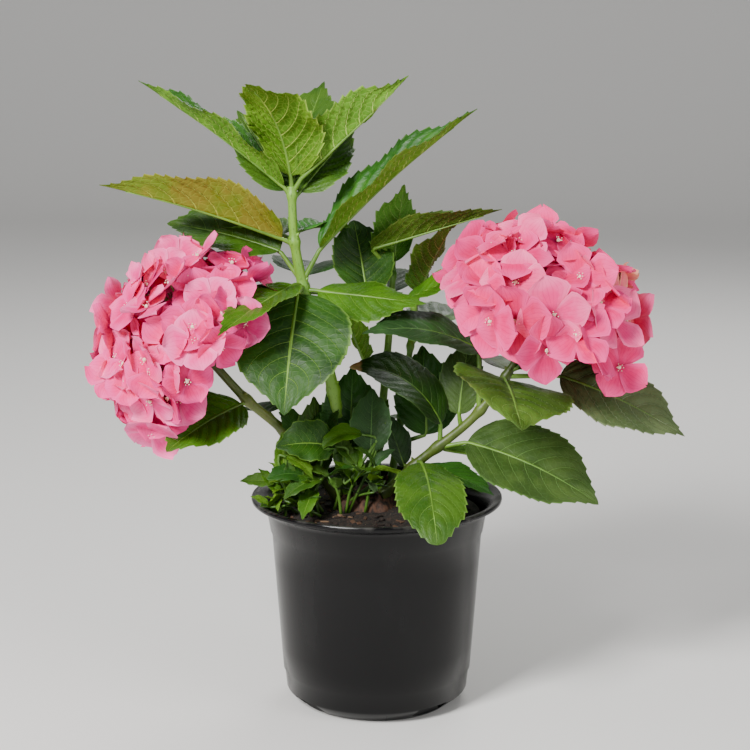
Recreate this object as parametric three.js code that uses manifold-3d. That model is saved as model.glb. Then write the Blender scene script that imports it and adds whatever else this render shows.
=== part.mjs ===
// A potted hydrangea: a black nursery pot with soil, a woody crown, five stems, two flower
// heads, broad leaves that are each a thin blade on a stalk, and sprouts at the foot.
// Millimetres, +Z up. The origin is the middle of the pot's flat underside.
import * as THREE from 'three';
import { mergeVertices } from 'three/addons/utils/BufferGeometryUtils.js';
import Module from 'manifold-3d';

const wasm = await Module();
wasm.setup();

const GAP = 0.4; // clear space between pieces that meet
const UP = new THREE.Vector3(0, 0, 1);

const POT = {
  wall: 1.6,
  footRadius: 52.5,
  footHeight: 9,
  bodyFoot: 62.4,
  bodyTop: 71.4,
  lowStep: 22,
  highStep: 119,
  stepOut: 0.9,
  stepEdge: 0.6,
  lipStart: 133,
  lipRadius: 74.6,
  throat: 72.6,
  lipOutside: [[78, 137.4], [84.2, 139.6], [85, 141], [84.4, 143]],
  lipInside: [[80.5, 142.2], [76.4, 139.4]],
  floorRadius: 51.5,
  floorTop: 2.6,
  sides: 24,
  notches: 4,
  notchWidth: 24,
  notchDepth: 9,
  notchLength: 14,
  notchRadius: 60,
  notchHeading: -52,
};
const SOIL = {
  level: 131,
  floor: 3,
  floorRadius: 50.5,
  lowest: 23,
  lowRadius: 61.8,
  topRadius: 72.2,
  shoulder: 0.6,
  mound: 3,
  lumps: 1.1,
  moundRadius: 64,
  rings: 3,
  sides: 16,
};
const CROWN = { centre: [-6, 4, 131], radius: [25, 20, 17] };

// stem: [foot radius, tip radius, points from foot to tip]
const STEMS = {
  main_shoot: [4.6, 2.6, [[-18, 6, 140], [-31, 3, 222], [-49, 0, 286], [-54.5, 0, 316], [-56, 0, 352]]],
  left_flower_stem: [
    3.5, 2.6, [[-26, 4, 140], [-62, 0, 186], [-87, -4, 209], [-107, -7, 232], [-116, -8, 242]],
  ],
  right_flower_stem: [
    3.4, 2.5, [[4, 0, 142], [27, -3, 165], [64, -7, 197], [86, -8, 226], [107, -8, 262]],
  ],
  back_shoot: [3.2, 1.8, [[-2, 18, 140], [6, 28, 220], [10, 33, 270], [11, 34, 292]]],
  back_right_shoot: [3.0, 1.6, [[8, 14, 138], [20, 34, 210], [26, 40, 268]]],
};

const STEM_SIDES = 6;
const STEM_STEPS = 8;

// head: centre, the way its crown faces, radius across, rise above and depth below its middle
const HEADS = {
  left_flower_head: { centre: [-115, -8, 243], faces: [-0.8, -0.26, 0.55], radius: 73, rise: 71, depth: 10 },
  right_flower_head: { centre: [103, -8, 261], faces: [0.42, -0.2, 0.88], radius: 78, rise: 69, depth: 11 },
};
const HEAD_BUMP = { share: 0.045, waves: [9, 8, 10], shifts: [1, 2, 0] };
const HEAD_DETAIL = 3;

// tuft of sprouts: centre and half size
const TUFTS = {
  sprouts_left: { centre: [-64, -18, 152], size: [18, 15, 20] },
  sprouts_middle: { centre: [-42, -12, 163], size: [19, 17, 27] },
  sprouts_right: { centre: [-8, -14, 168], size: [18, 14, 24] },
};
const TUFT_BUMP = { share: 0.2, waves: [7, 6, 3], shifts: [2, 1, 1.4] };
const TUFT_SPREAD = 0.3; // how much wider a tuft is at its top than at its middle
const CROWN_BUMP = { share: 0.12, waves: [6, 7, 2], shifts: [1, 0, 1.5] };
const BLOB_DETAIL = 1;

// Each leaf: its stem, the height where its stalk leaves it, the stalk's heading from +X, length
// and rise, the blade's heading, length, width, pitch at its start and its end, roll, the fold of
// its halves up from flat, and how drawn-out its tip is. Angles are in degrees.
const LEAF_KEYS = [
  'stem', 'at', 'aim', 'stalk', 'rise', 'heading', 'long', 'wide', 'start', 'end', 'roll', 'fold', 'tip',
];
const LEAVES = {
  leaf_top_left: ['main_shoot', 345, 182, 9, 50, 182, 116, 42, 42, 31, 0, 30, 1],
  leaf_top_front: ['main_shoot', 349, -120, 10, 82, -118, 86, 56, 78, 20, 0, 14, 0.9],
  leaf_top_back: ['main_shoot', 349, 66, 8, 70, 66, 78, 50, 62, 42, 0, 12, 1],
  leaf_top_right: ['main_shoot', 347, -14, 13, 58, -14, 98, 48, 42, 44, -30, 35, 1],
  leaf_top_back_right: ['main_shoot', 343, 40, 8, 36, 40, 60, 44, 44, 34, 24, 10, 1],
  leaf_top_back_left: ['main_shoot', 343, 138, 8, 46, 138, 68, 44, 52, 44, -24, 10, 1],
  leaf_upper_left: ['main_shoot', 313, -172, 10, 26, -172, 124, 50, 23, 12, 30, 40, 1],
  leaf_upper_back: ['main_shoot', 318, 60, 8, 30, 60, 60, 38, 8, -25, 0, 10, 1],
  leaf_middle_left: ['main_shoot', 288, 160, 26, 52, 160, 84, 54, 18, 2, -34, 20, 0.8],
  leaf_upper_right: ['main_shoot', 288, 2, 26, 62, 2, 138, 42, 48, 35, 10, 38, 1],
  leaf_front: ['main_shoot', 286, -98, 20, -8, -98, 88, 80, -40, -66, 0, 6, 0.9],
  leaf_front_left: ['main_shoot', 286, -120, 12, 10, -117, 98, 34, -5, -17, -6, 12, 1],
  leaf_front_right: ['main_shoot', 283, -20, 10, 0, -16, 74, 46, -2, -6, 26, -14, 1],
  leaf_back_upright: ['main_shoot', 282, 18, 44, -6, 108, 56, 44, 64, 50, 0, 10, 0.7],
  leaf_back_tip: ['back_shoot', 288, -60, 9, 80, -60, 56, 36, 84, 68, 0, 14, 1],
  leaf_back_long: ['back_shoot', 290, 215, 25, 44, -6, 92, 36, 18, 17, -8, 42, 1.1],
  leaf_head_back: ['back_right_shoot', 264, -30, 13, 70, -30, 62, 46, 72, 50, 0, 14, 1],
  leaf_head_front: ['back_shoot', 262, -70, 30, 25, -30, 60, 34, 30, 18, 24, 6, 1],
  leaf_shade_left: ['right_flower_stem', 202, -100, 43, 84, -160, 86, 50, 34, -12, -20, 4, 1],
  leaf_shade_olive: ['back_shoot', 218, -150, 22, 40, -150, 50, 30, 70, 60, 0, 14, 1],
  leaf_burnt_tip: ['right_flower_stem', 178, 168, 15, 92, 174, 78, 46, 70, -8, -22, 8, 0.7],
  leaf_stem_front: ['right_flower_stem', 224, -86, 8, 10, -86, 80, 82, 4, -28, -17, 6, 0.9],
  leaf_far_right: ['right_flower_stem', 226, -6, 36, 2, -8, 92, 58, -16, -34, 36, 6, 1],
  leaf_under_head: ['right_flower_stem', 230, -20, 6, 20, -20, 38, 22, 36, 24, 20, 8, 1],
  leaf_low_right: ['right_flower_stem', 176, -14, 22, 14, -20, 98, 62, -8, -34, 34, 6, 0.8],
  leaf_low_right_small: ['right_flower_stem', 176, 14, 6, -10, 14, 42, 18, -10, -24, -30, 14, 1],
  leaf_over_rim: ['right_flower_stem', 166, -84, 16, 12, -84, 90, 46, 6, -52, 0, -4, 0.45],
  leaf_soil_right: ['right_flower_stem', 162, -30, 8, 10, -30, 56, 34, 0, -26, 6, 4, 1],
  leaf_low_upright: ['right_flower_stem', 162, 165, 6, 10, 160, 40, 30, 74, 62, -10, 10, 1],
  leaf_shade_right: ['back_right_shoot', 172, -12, 22, 20, 100, 62, 46, 86, 62, 0, 10, 0.9],
  leaf_shade_middle: ['main_shoot', 168, -60, 10, 30, 84, 58, 42, 84, 66, 0, 10, 0.9],
  leaf_shade_low: ['left_flower_stem', 160, -70, 8, 40, 104, 46, 34, 80, 60, 0, 10, 1],
  leaf_shade_stem: ['right_flower_stem', 190, 96, 14, 30, 64, 54, 34, 80, 60, 0, 10, 0.9],
  leaf_low_left: ['left_flower_stem', 208, -140, 6, -10, -136, 68, 48, -8, -30, -24, 8, 0.8],
  leaf_rear_upper: ['main_shoot', 316, 128, 14, 10, 128, 88, 52, 6, -30, 0, 12, 1],
  leaf_rear_middle: ['main_shoot', 284, 84, 16, 24, 84, 96, 58, 10, -24, 0, 10, 1],
  leaf_rear_left: ['main_shoot', 250, 142, 22, 26, 142, 92, 60, 8, -26, 0, 8, 0.8],
  leaf_rear_low: ['main_shoot', 214, 112, 26, 24, 112, 94, 62, 6, -30, 0, 8, 0.8],
  leaf_rear_left_low: ['left_flower_stem', 188, 118, 22, 20, 118, 86, 58, 0, -30, 0, 8, 1],
  leaf_rear_right: ['back_right_shoot', 238, 58, 20, 30, 58, 90, 54, 14, -20, 0, 10, 1],
  leaf_rear_centre: ['back_shoot', 264, 96, 18, 30, 96, 88, 54, 16, -18, 0, 10, 1],
  leaf_rear_right_low: ['back_right_shoot', 190, 34, 24, 20, 34, 92, 60, 0, -28, 0, 8, 0.8],
  leaf_rear_stem: ['right_flower_stem', 222, 74, 16, 20, 74, 84, 54, 4, -24, 0, 8, 1],
  leaf_rear_foot: ['back_shoot', 172, 100, 22, 24, 100, 80, 56, -2, -34, 0, 8, 0.8],
};
const BLADE = { thick: 0.9, stations: 5, baseFill: 0.55, tipWidth: 1.4 };
const STALK = { foot: 1.7, tip: 1.3, sides: 3, steps: 2, intoBlade: 3 };

const radians = THREE.MathUtils.degToRad;
const point = ([x, y, z]) => new THREE.Vector3(x, y, z);

function direction(heading, pitch) {
  const flat = Math.cos(radians(pitch));
  const turn = radians(heading);
  return new THREE.Vector3(flat * Math.cos(turn), flat * Math.sin(turn), Math.sin(radians(pitch)));
}

// ---- solids from three.js geometries -----------------------------------------------------

function solidOf(geometry) {
  const bare = geometry.clone();
  bare.deleteAttribute('normal');
  bare.deleteAttribute('uv');
  const merged = mergeVertices(bare, 1e-4);
  const mesh = new wasm.Mesh({
    numProp: 3,
    vertProperties: new Float32Array(merged.attributes.position.array),
    triVerts: new Uint32Array(merged.index.array),
  });
  return new wasm.Manifold(mesh);
}

function geometryOf(solid) {
  const mesh = solid.getMesh();
  const geometry = new THREE.BufferGeometry();
  geometry.setAttribute('position', new THREE.BufferAttribute(mesh.vertProperties, 3));
  geometry.setIndex(new THREE.BufferAttribute(mesh.triVerts, 1));
  geometry.computeVertexNormals();
  return geometry;
}

function moveVertices(geometry, place) {
  const positions = geometry.attributes.position;
  const vertex = new THREE.Vector3();
  for (let i = 0; i < positions.count; i += 1) {
    vertex.fromBufferAttribute(positions, i);
    place(vertex);
    positions.setXYZ(i, vertex.x, vertex.y, vertex.z);
  }
  return geometry;
}

// ---- pot and soil ------------------------------------------------------------------------

// outer radius of the pot's body at a height, with its two small steps
function bodyRadius(z) {
  const along = (z - POT.footHeight) / (POT.highStep - POT.footHeight);
  const steps = (z > POT.lowStep ? POT.stepOut : 0) + (z > POT.highStep ? POT.stepOut : 0);
  return POT.bodyFoot + (POT.bodyTop - POT.bodyFoot - POT.stepOut) * along + steps;
}

function potProfile() {
  const low = POT.lowStep;
  const high = POT.highStep;
  const edge = POT.stepEdge;
  const outer = [
    [0, 0],
    [POT.footRadius, 0],
    [POT.bodyFoot - edge, POT.footHeight],
    [bodyRadius(low - edge), low - edge],
    [bodyRadius(low + edge), low + edge],
    [bodyRadius(high - edge), high - edge],
    [bodyRadius(high + edge), high + edge],
    [POT.lipRadius, POT.lipStart],
    ...POT.lipOutside,
  ];
  const inner = [
    ...POT.lipInside,
    [POT.throat, POT.lipStart],
    [bodyRadius(low + edge) - POT.wall, low],
    [POT.floorRadius, POT.floorTop],
    [0, POT.floorTop],
  ];
  return [...outer, ...inner].map(([r, z]) => new THREE.Vector2(r, z));
}

// a lathe turns about Y, so each lathed piece is stood up to turn about Z
function lathed(profile, sides) {
  return new THREE.LatheGeometry(profile, sides).rotateX(Math.PI / 2);
}

function potSolid() {
  let pot = solidOf(lathed(potProfile(), POT.sides));
  for (let i = 0; i < POT.notches; i += 1) {
    const notch = new THREE.BoxGeometry(POT.notchLength, POT.notchWidth, POT.notchDepth * 2);
    notch.translate(POT.notchRadius, 0, 0);
    notch.rotateZ(radians(POT.notchHeading + (i * 360) / POT.notches));
    pot = pot.subtract(solidOf(notch));
  }
  return pot;
}

// a low mound, a little lumpy, that fills the pot to below its lip
function soilSolid() {
  const profile = [
    [0, SOIL.floor],
    [SOIL.floorRadius, SOIL.floor],
    [SOIL.lowRadius, SOIL.lowest],
    [SOIL.topRadius - SOIL.shoulder, SOIL.level],
  ];
  for (let i = SOIL.rings - 1; i >= 0; i -= 1) {
    profile.push([(SOIL.topRadius * i) / SOIL.rings, SOIL.level]);
  }
  const geometry = lathed(profile.map(([r, z]) => new THREE.Vector2(r, z)), SOIL.sides);
  moveVertices(geometry, (v) => {
    const share = Math.hypot(v.x, v.y) / SOIL.moundRadius;
    if (v.z === SOIL.level && share < 1) {
      const swell = Math.cos(share * (Math.PI / 2));
      const lump = Math.sin(v.x / 6 + 1) * Math.sin(v.y / 5);
      v.z += swell * (SOIL.mound + SOIL.lumps * lump);
    }
  });
  return solidOf(geometry);
}

// ---- stems, heads and tufts --------------------------------------------------------------

function limbSolid(points, footRadius, tipRadius, sides, steps) {
  const curve = new THREE.CatmullRomCurve3(points.map((p) => (p.isVector3 ? p : point(p))));
  const frames = curve.computeFrenetFrames(steps, false);
  const geometry = new THREE.CylinderGeometry(tipRadius, footRadius, 1, sides, steps);
  moveVertices(geometry, (v) => {
    const station = Math.round((v.y + 0.5) * steps);
    const centre = curve.getPointAt(station / steps);
    centre.addScaledVector(frames.normals[station], v.z).addScaledVector(frames.binormals[station], v.x);
    v.copy(centre);
  });
  return solidOf(geometry);
}

function stemSolid(name, grow) {
  const [foot, tip, points] = STEMS[name];
  return limbSolid(points, foot + grow, tip + grow, STEM_SIDES, STEM_STEPS);
}

// a round solid: shape(way) gives the surface point for each way out from its middle
function blobSolid(detail, shape) {
  const ball = new THREE.IcosahedronGeometry(1, detail);
  ball.deleteAttribute('uv');
  ball.deleteAttribute('normal');
  const geometry = mergeVertices(ball);
  moveVertices(geometry, (v) => v.copy(shape(v.clone().normalize())));
  return solidOf(geometry);
}

// how far a blob swells or dips at a way out from its middle, as a factor near 1
function uneven(bump, way) {
  const wave = (k) => Math.sin(way.getComponent(k) * bump.waves[k] + bump.shifts[k]);
  return 1 + bump.share * wave(0) * wave(1) * wave(2);
}

function headSolid(name, grow) {
  const head = HEADS[name];
  const axis = point(head.faces).normalize();
  const centre = point(head.centre);
  return blobSolid(HEAD_DETAIL, (u) => {
    const up = u.dot(axis);
    const across = u.clone().addScaledVector(axis, -up);
    const bump = uneven(HEAD_BUMP, u);
    const height = up > 0 ? head.rise : head.depth;
    return centre.clone()
      .addScaledVector(across, head.radius * bump + grow)
      .addScaledVector(axis, up * (height * bump + grow));
  });
}

function tuftSolid(name, grow) {
  const tuft = TUFTS[name];
  const [a, b, c] = tuft.size;
  return blobSolid(BLOB_DETAIL, (u) => {
    const bump = uneven(TUFT_BUMP, u);
    const spread = 1 + TUFT_SPREAD * u.z;
    return point(tuft.centre).add(new THREE.Vector3(
      u.x * (a * bump * spread + grow),
      u.y * (b * bump * spread + grow),
      u.z * (c * bump + grow),
    ));
  });
}

function crownSolid(grow) {
  const [a, b, c] = CROWN.radius;
  return blobSolid(BLOB_DETAIL, (u) => {
    const bump = uneven(CROWN_BUMP, u);
    return point(CROWN.centre).add(new THREE.Vector3(
      u.x * (a * bump + grow),
      u.y * (b * bump + grow),
      u.z * (c * bump + grow),
    ));
  });
}

// ---- leaves ------------------------------------------------------------------------------

function leafSizes(name) {
  const values = LEAVES[name];
  return Object.fromEntries(LEAF_KEYS.map((key, i) => [key, values[i]]));
}

// the point of a stem's centre line at a height
function stemPointAt(name, z) {
  const curve = new THREE.CatmullRomCurve3(STEMS[name][2].map(point));
  let low = 0;
  let high = 1;
  for (let i = 0; i < 30; i += 1) {
    const middle = (low + high) / 2;
    if (curve.getPoint(middle).z < z) {
      low = middle;
    } else {
      high = middle;
    }
  }
  return curve.getPoint(low);
}

// half width of a blade at a share of its length: a round base and a drawn-out tip
function halfWidth(leaf, share) {
  const peak = BLADE.baseFill / (BLADE.baseFill + leaf.tip);
  const form = (t) => (t ** BLADE.baseFill) * ((1 - t) ** leaf.tip);
  return Math.max((leaf.wide / 2) * (form(share) / form(peak)), BLADE.tipWidth / 2);
}

// the frame of a blade at a share of its length: point on the midrib, way across, way up
function bladeFrames(leaf, start) {
  const frames = [];
  const place = start.clone();
  for (let i = 0; i <= BLADE.stations; i += 1) {
    const share = i / BLADE.stations;
    const pitch = leaf.start + (leaf.end - leaf.start) * share;
    const ahead = direction(leaf.heading, pitch);
    const across = UP.clone().cross(ahead).normalize().applyAxisAngle(ahead, radians(leaf.roll));
    const above = ahead.clone().cross(across);
    frames.push({ place: place.clone(), across, above });
    place.addScaledVector(ahead, leaf.long / BLADE.stations);
  }
  return frames;
}

function bladeSolid(leaf, start, grow) {
  const frames = bladeFrames(leaf, start);
  const fold = radians(leaf.fold);
  const geometry = new THREE.BoxGeometry(1, 2, 1, BLADE.stations, 2, 1);
  moveVertices(geometry, (v) => {
    const share = v.x + 0.5;
    const { place, across, above } = frames[Math.round(share * BLADE.stations)];
    const reach = halfWidth(leaf, share) + grow;
    const lift = v.z * (BLADE.thick + 2 * grow) / Math.cos(fold);
    const side = v.y * reach * Math.cos(fold);
    const rise = Math.abs(v.y) * reach * Math.sin(fold);
    v.copy(place).addScaledVector(across, side).addScaledVector(above, rise + lift);
  });
  return solidOf(geometry);
}

function leafSolid(name, grow) {
  const leaf = leafSizes(name);
  const foot = stemPointAt(leaf.stem, leaf.at);
  const base = foot.clone().addScaledVector(direction(leaf.aim, leaf.rise), leaf.stalk);
  const inside = base.clone().addScaledVector(direction(leaf.heading, leaf.start), STALK.intoBlade);
  const route = [foot, base, inside];
  const stalk = limbSolid(route, STALK.foot + grow, STALK.tip + grow, STALK.sides, STALK.steps);
  return bladeSolid(leaf, base, grow).add(stalk);
}

// ---- assembly ----------------------------------------------------------------------------

const COLOURS = {
  pot: { color: 0x1b1a1a, roughness: 0.42, metalness: 0 },
  soil: { color: 0x2a1c14, roughness: 1, metalness: 0 },
  wood: { color: 0x5c3d29, roughness: 0.9, metalness: 0 },
  stem: { color: 0x7f9a3c, roughness: 0.6, metalness: 0 },
  leaf: { color: 0x3f7a28, roughness: 0.5, metalness: 0 },
  flower: { color: 0xef6f90, roughness: 0.7, metalness: 0 },
};

const plant = new THREE.Group();
const placed = [];

function overlaps(a, b) {
  return [0, 1, 2].every((k) => a.min[k] < b.max[k] && b.min[k] < a.max[k]);
}

// Adds a piece, cut clear of every piece before it; only its largest part is kept.
function addPiece(name, colour, make) {
  let solid = make(0);
  const grown = make(GAP);
  for (const other of placed) {
    if (overlaps(solid.boundingBox(), other.box)) {
      solid = solid.subtract(other.grown);
    }
  }
  const parts = solid.decompose().sort((a, b) => b.volume() - a.volume());
  placed.push({ grown, box: grown.boundingBox() });
  const mesh = new THREE.Mesh(geometryOf(parts[0]), new THREE.MeshStandardMaterial(COLOURS[colour]));
  mesh.name = name;
  plant.add(mesh);
}

function addAll(table, colour, make) {
  for (const name of Object.keys(table)) {
    addPiece(name, colour, (grow) => make(name, grow));
  }
}

addPiece('pot', 'pot', potSolid);
addAll(HEADS, 'flower', headSolid);
addPiece('woody_crown', 'wood', crownSolid);
addPiece('soil', 'soil', soilSolid);
addAll(STEMS, 'stem', stemSolid);
addAll(LEAVES, 'leaf', leafSolid);
addAll(TUFTS, 'leaf', tuftSolid);

export default plant;
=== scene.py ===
"""A potted hydrangea shrub, two pink mopheads on a leafy young plant in a black nursery pot.

Lengths in the tables are millimetres and angles are degrees; one unit in the scene is a metre.
"""
import math
import random

import bmesh
import bpy
from bpy.props import FloatProperty, IntProperty, PointerProperty
from mathutils import Matrix, Vector, noise


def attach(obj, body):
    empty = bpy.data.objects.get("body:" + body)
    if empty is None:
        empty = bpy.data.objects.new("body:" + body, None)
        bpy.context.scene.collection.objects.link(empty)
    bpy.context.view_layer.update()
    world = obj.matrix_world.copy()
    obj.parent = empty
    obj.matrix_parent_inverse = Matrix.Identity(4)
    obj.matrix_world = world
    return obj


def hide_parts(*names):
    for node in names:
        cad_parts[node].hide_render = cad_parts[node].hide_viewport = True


bl_info = {
    "name": "Potted hydrangea",
    "version": (1, 0, 0),
    "blender": (4, 5, 0),
    "location": "3D View > Sidebar > Hydrangea",
    "description": "Builds a potted hydrangea shrub over its CAD frame",
    "category": "Add Mesh",
}

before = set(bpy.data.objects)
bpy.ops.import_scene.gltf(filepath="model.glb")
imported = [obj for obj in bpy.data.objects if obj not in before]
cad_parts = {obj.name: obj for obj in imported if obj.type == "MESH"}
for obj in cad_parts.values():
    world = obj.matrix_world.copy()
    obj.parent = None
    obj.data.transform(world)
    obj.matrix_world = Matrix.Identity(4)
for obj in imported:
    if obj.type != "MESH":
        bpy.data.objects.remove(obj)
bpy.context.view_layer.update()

MM = 0.001
UP = Vector((0, 0, 1))
BODY = "root"

# The camera: how far in front of the pot's axis, how high, how far it looks down, and its lens.
CAMERA = {"side": -1.2, "distance": 1285, "height": 489, "down": 11.6, "lens": 93.9}

# The pot, by heights and radii: where its foot, steps and mesh rings are, and how thick its wall is.
POT = {
    "wall": 1.6, "foot_height": 9, "body_foot": 62.4, "body_top": 71.4, "low_step": 22, "high_step": 119,
    "step_out": 0.9, "step_rise": 0.6, "step_ease": 0.1, "rings": (40, 60, 80, 100),
    "inner_rings": (118, 80, 24), "sides": 128, "crisp": 40,
}
# Parts of its section, as radius and height: out along the underside and up the foot, over the lip, down
# inside the lip, and in over the floor.
FOOT_OUTSIDE = [(0, 0), (51.5, 0), (52.5, 0.8), (61.4, 8), (62.1, 9.5)]
LIP_OUTSIDE = [(74.6, 133), (76, 135.6), (78.2, 137.6), (81.4, 138.8), (84.0, 139.5), (84.8, 140.2),
               (85.0, 141.2), (84.9, 142.3), (84.2, 143.0), (82.6, 143.0)]
LIP_INSIDE = [(80.5, 142.2), (78.2, 140.9), (76.4, 139.2), (74.4, 136.6), (72.8, 133)]
FLOOR_INSIDE = [(51.5, 3.2), (49.5, 2.6), (0, 2.6)]
NOTCH = {"count": 4, "long": 14, "wide": 24, "deep": 9, "heading": -52, "radius": 60}

# Soil: its lumps and crumbs are how many to a metre and how high.
SOIL = {"level": 131, "radius": 70.2, "mound": 3, "lumps": (60, 2.2), "crumbs": (240, 1.1), "depth": 20,
        "rings": 44, "sides": 120}
# Bark chips: how far out they lie and their least and greatest sizes; name, colour and share of each.
CHIP = {"reach": 67, "long": (2, 7), "wide": (1, 3), "thick": (0.6, 1.6), "lift": 0.4, "tilt": 0.5,
        "bevel": 0.3, "roughness": 0.85}
CHIP_LOOKS = (
    ("bark chip, dark", "#21150d", 3),
    ("bark chip, brown", "#4a3220", 2),
    ("bark chip, dry", "#644c36", 1),
)
# The woody crown: ridges and knobs are how many to a metre and how high, as a share of its radius.
CROWN = {"centre": (-6, 4, 131), "radius": (25, 20, 17), "body": 0.94, "ridges": ((160, 40), 0.16),
         "knobs": (70, 0.14)}
STUBS = {"count": 11, "ring": (14, 11, 6), "lean": (0.1, 0.9), "long": (8, 20), "thick": (1.8, 3.6),
         "taper": 0.2, "sides": 10, "rows": 8}

# Stems: radius at the foot, radius at the tip, and the points the stem runs through.
STEMS = {
    "main_shoot": (
        4.6, 2.6, [(-18, 6, 140), (-31, 3, 222), (-49, 0, 286), (-54.5, 0, 316), (-56, 0, 352)]),
    "left_flower_stem": (
        3.5, 2.6, [(-26, 4, 140), (-62, 0, 186), (-87, -4, 209), (-107, -7, 232), (-116, -8, 242)]),
    "right_flower_stem": (
        3.4, 2.5, [(4, 0, 142), (27, -3, 165), (64, -7, 197), (86, -8, 226), (107, -8, 262)]),
    "back_shoot": (3.2, 1.8, [(-2, 18, 140), (6, 28, 220), (10, 33, 270), (11, 34, 292)]),
    "back_right_shoot": (3.0, 1.6, [(8, 14, 138), (20, 34, 210), (26, 40, 268)]),
}
# Heights at which each stem swells into a node.
NODES = {
    "main_shoot": (176, 214, 250, 285, 315, 346),
    "left_flower_stem": (186, 209),
    "right_flower_stem": (162, 177, 203, 226),
    "back_shoot": (172, 218, 264, 288),
    "back_right_shoot": (190, 238, 264),
}
# How much a stem flares over the first part of its run, and how much it swells at a node.
STEM = {"sides": 20, "rows": 120, "flare": 1.2, "flare_run": 0.08, "swell": 1.1, "swell_half": 3.2}
# The pair of buds at each node: how far above it, how they stand and turn, and their size.
BUD = {"above": 2, "pitch": 48, "turn": -40, "spread": 30, "sunk": 0.5, "long": 4.2, "thick": 1.25,
       "arc": (0.25, 0.7), "sides": 8, "rows": 8}
# Stem colours: low tone, high tone and speckles.
STEM_LOOKS = {
    "main_shoot": ("#5a8a24", "#76a234", "#35551c"),
    "left_flower_stem": ("#4a5a18", "#667228", "#463a1c"),
    "right_flower_stem": ("#3c4e12", "#566822", "#40341a"),
    "back_shoot": ("#4f7a24", "#6a9432", "#35551c"),
    "back_right_shoot": ("#4f7a24", "#6a9432", "#35551c"),
}

# Flower heads: the dome's centre, the way it faces, its radius, its rise and depth above and below the
# centre, its stem, the length of a sepal, how many florets stand how deep over how much of the dome, the
# plane past which there are none, and how broad and how blunt the sepals are.
HEADS = {
    "left_flower_head": {
        "centre": (-115, -8, 243), "faces": (-0.8, -0.26, 0.55), "radius": 73, "rise": 71, "depth": 10,
        "stem": "left_flower_stem", "floret": 19.6, "florets": 92, "fill": 0.88, "cover": 0.96,
        "trim": (0.5, -0.5, -0.7), "trim_at": 36, "broad": 1.2, "point": 0.8,
    },
    "right_flower_head": {
        "centre": (103, -8, 261), "faces": (0.42, -0.2, 0.88), "radius": 78, "rise": 69, "depth": 11,
        "stem": "right_flower_stem", "floret": 24.5, "florets": 62, "fill": 0.84, "cover": 0.88,
        "trim": (-0.6, -0.4, -0.7), "trim_at": 46, "broad": 1.08, "point": 1.0,
    },
}
# Sepal colours of each head: (middle, edge, throat, share of the florets).
# The throat colour is partly the sepals' own deeper pink and partly painted shade where the sepals meet at
# the floret's centre.
SEPALS = {
    "left_flower_head": [
        ("#ee0c76", "#fc52a0", "#b0044c", 4),
        ("#f42c88", "#fe74b0", "#c0105c", 4),
        ("#da0864", "#f44494", "#940440", 2),
    ],
    "right_flower_head": [
        ("#ec0a6c", "#fc4c94", "#b0044c", 4),
        ("#f22c7e", "#fe6ca2", "#bc0c56", 3),
        ("#f65c7c", "#ffb090", "#d02c5c", 1),
        ("#d8085c", "#ee4088", "#8c043a", 2),
    ],
}

# A sepal's outline: where it is broadest, how full its sides are and how much of its run is built; the
# cup at its edges, the size and runs of its ruffle, half its thickness and its mesh. Then the ranges by
# which sepals differ: turn, length, width, cup and twist.
SEPAL = {"shoulder": 0.58, "side": 0.70, "start": 0.02, "run": 0.965, "edge_cup": 0.55, "ruffle": 0.5,
         "ruffle_runs": (4.5, 9), "skin": 0.13, "columns": 6, "rows": 7,
         "turn": 0.1, "long": (0.92, 1.06), "wide": (0.92, 1.12), "cup": (-0.1, 1.4), "twist": 1.9}
# The pale eye of a floret and the anthers round it, with how far they stand out and off the middle.
EYE = {"radius": 1.5, "anthers": 6, "anther": 0.42, "out": (2.6, 3.8), "off": (1.6, 2.6)}
# Florets: how far they tilt from the dome, how far every fourth one is sunk, and the step between sepals.
# Then the ranges by which florets differ: their places, depths, turns, sizes and the droop of their tips.
FLORET = {"tilt": 0.56, "every": 4, "sunk": 0.13, "over": 0.35, "pad": 0.04, "polar": 0.05,
          "around": 0.14, "depth": (-0.03, 0.04), "turn": 1.57, "size": (0.86, 1.08), "droop": (-1.0, 2.4)}
# Pedicels branch at a share of the way from the stem's tip to the floret; radii as at the foot and lost.
PEDICEL = {"branch": 0.45, "thin": (1.0, 0.3), "thin_mesh": (5, 6), "thick": (1.9, 0.7),
           "thick_mesh": (6, 7), "sag": 2}

# Tufts of sprouts at the foot of the plant: centre, half sizes, where they grow from, how many shoots
# grow by rule and what finishes their leaves have.
TUFTS = {
    "sprouts_left": {
        "centre": (-64, -18, 152), "size": (18, 15, 20), "foot": (-52, -14, 133), "shoots": 6,
        "finishes": ("lime", "bright", "mid"),
    },
    "sprouts_middle": {
        "centre": (-42, -12, 163), "size": (19, 17, 27), "foot": (-36, -12, 133), "shoots": 5,
        "finishes": ("mid", "deep", "front"),
    },
    "sprouts_right": {
        "centre": (-8, -14, 168), "size": (18, 14, 24), "foot": (-14, -12, 134), "shoots": 3,
        "finishes": ("grey", "mid", "bright"),
    },
}
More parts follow.
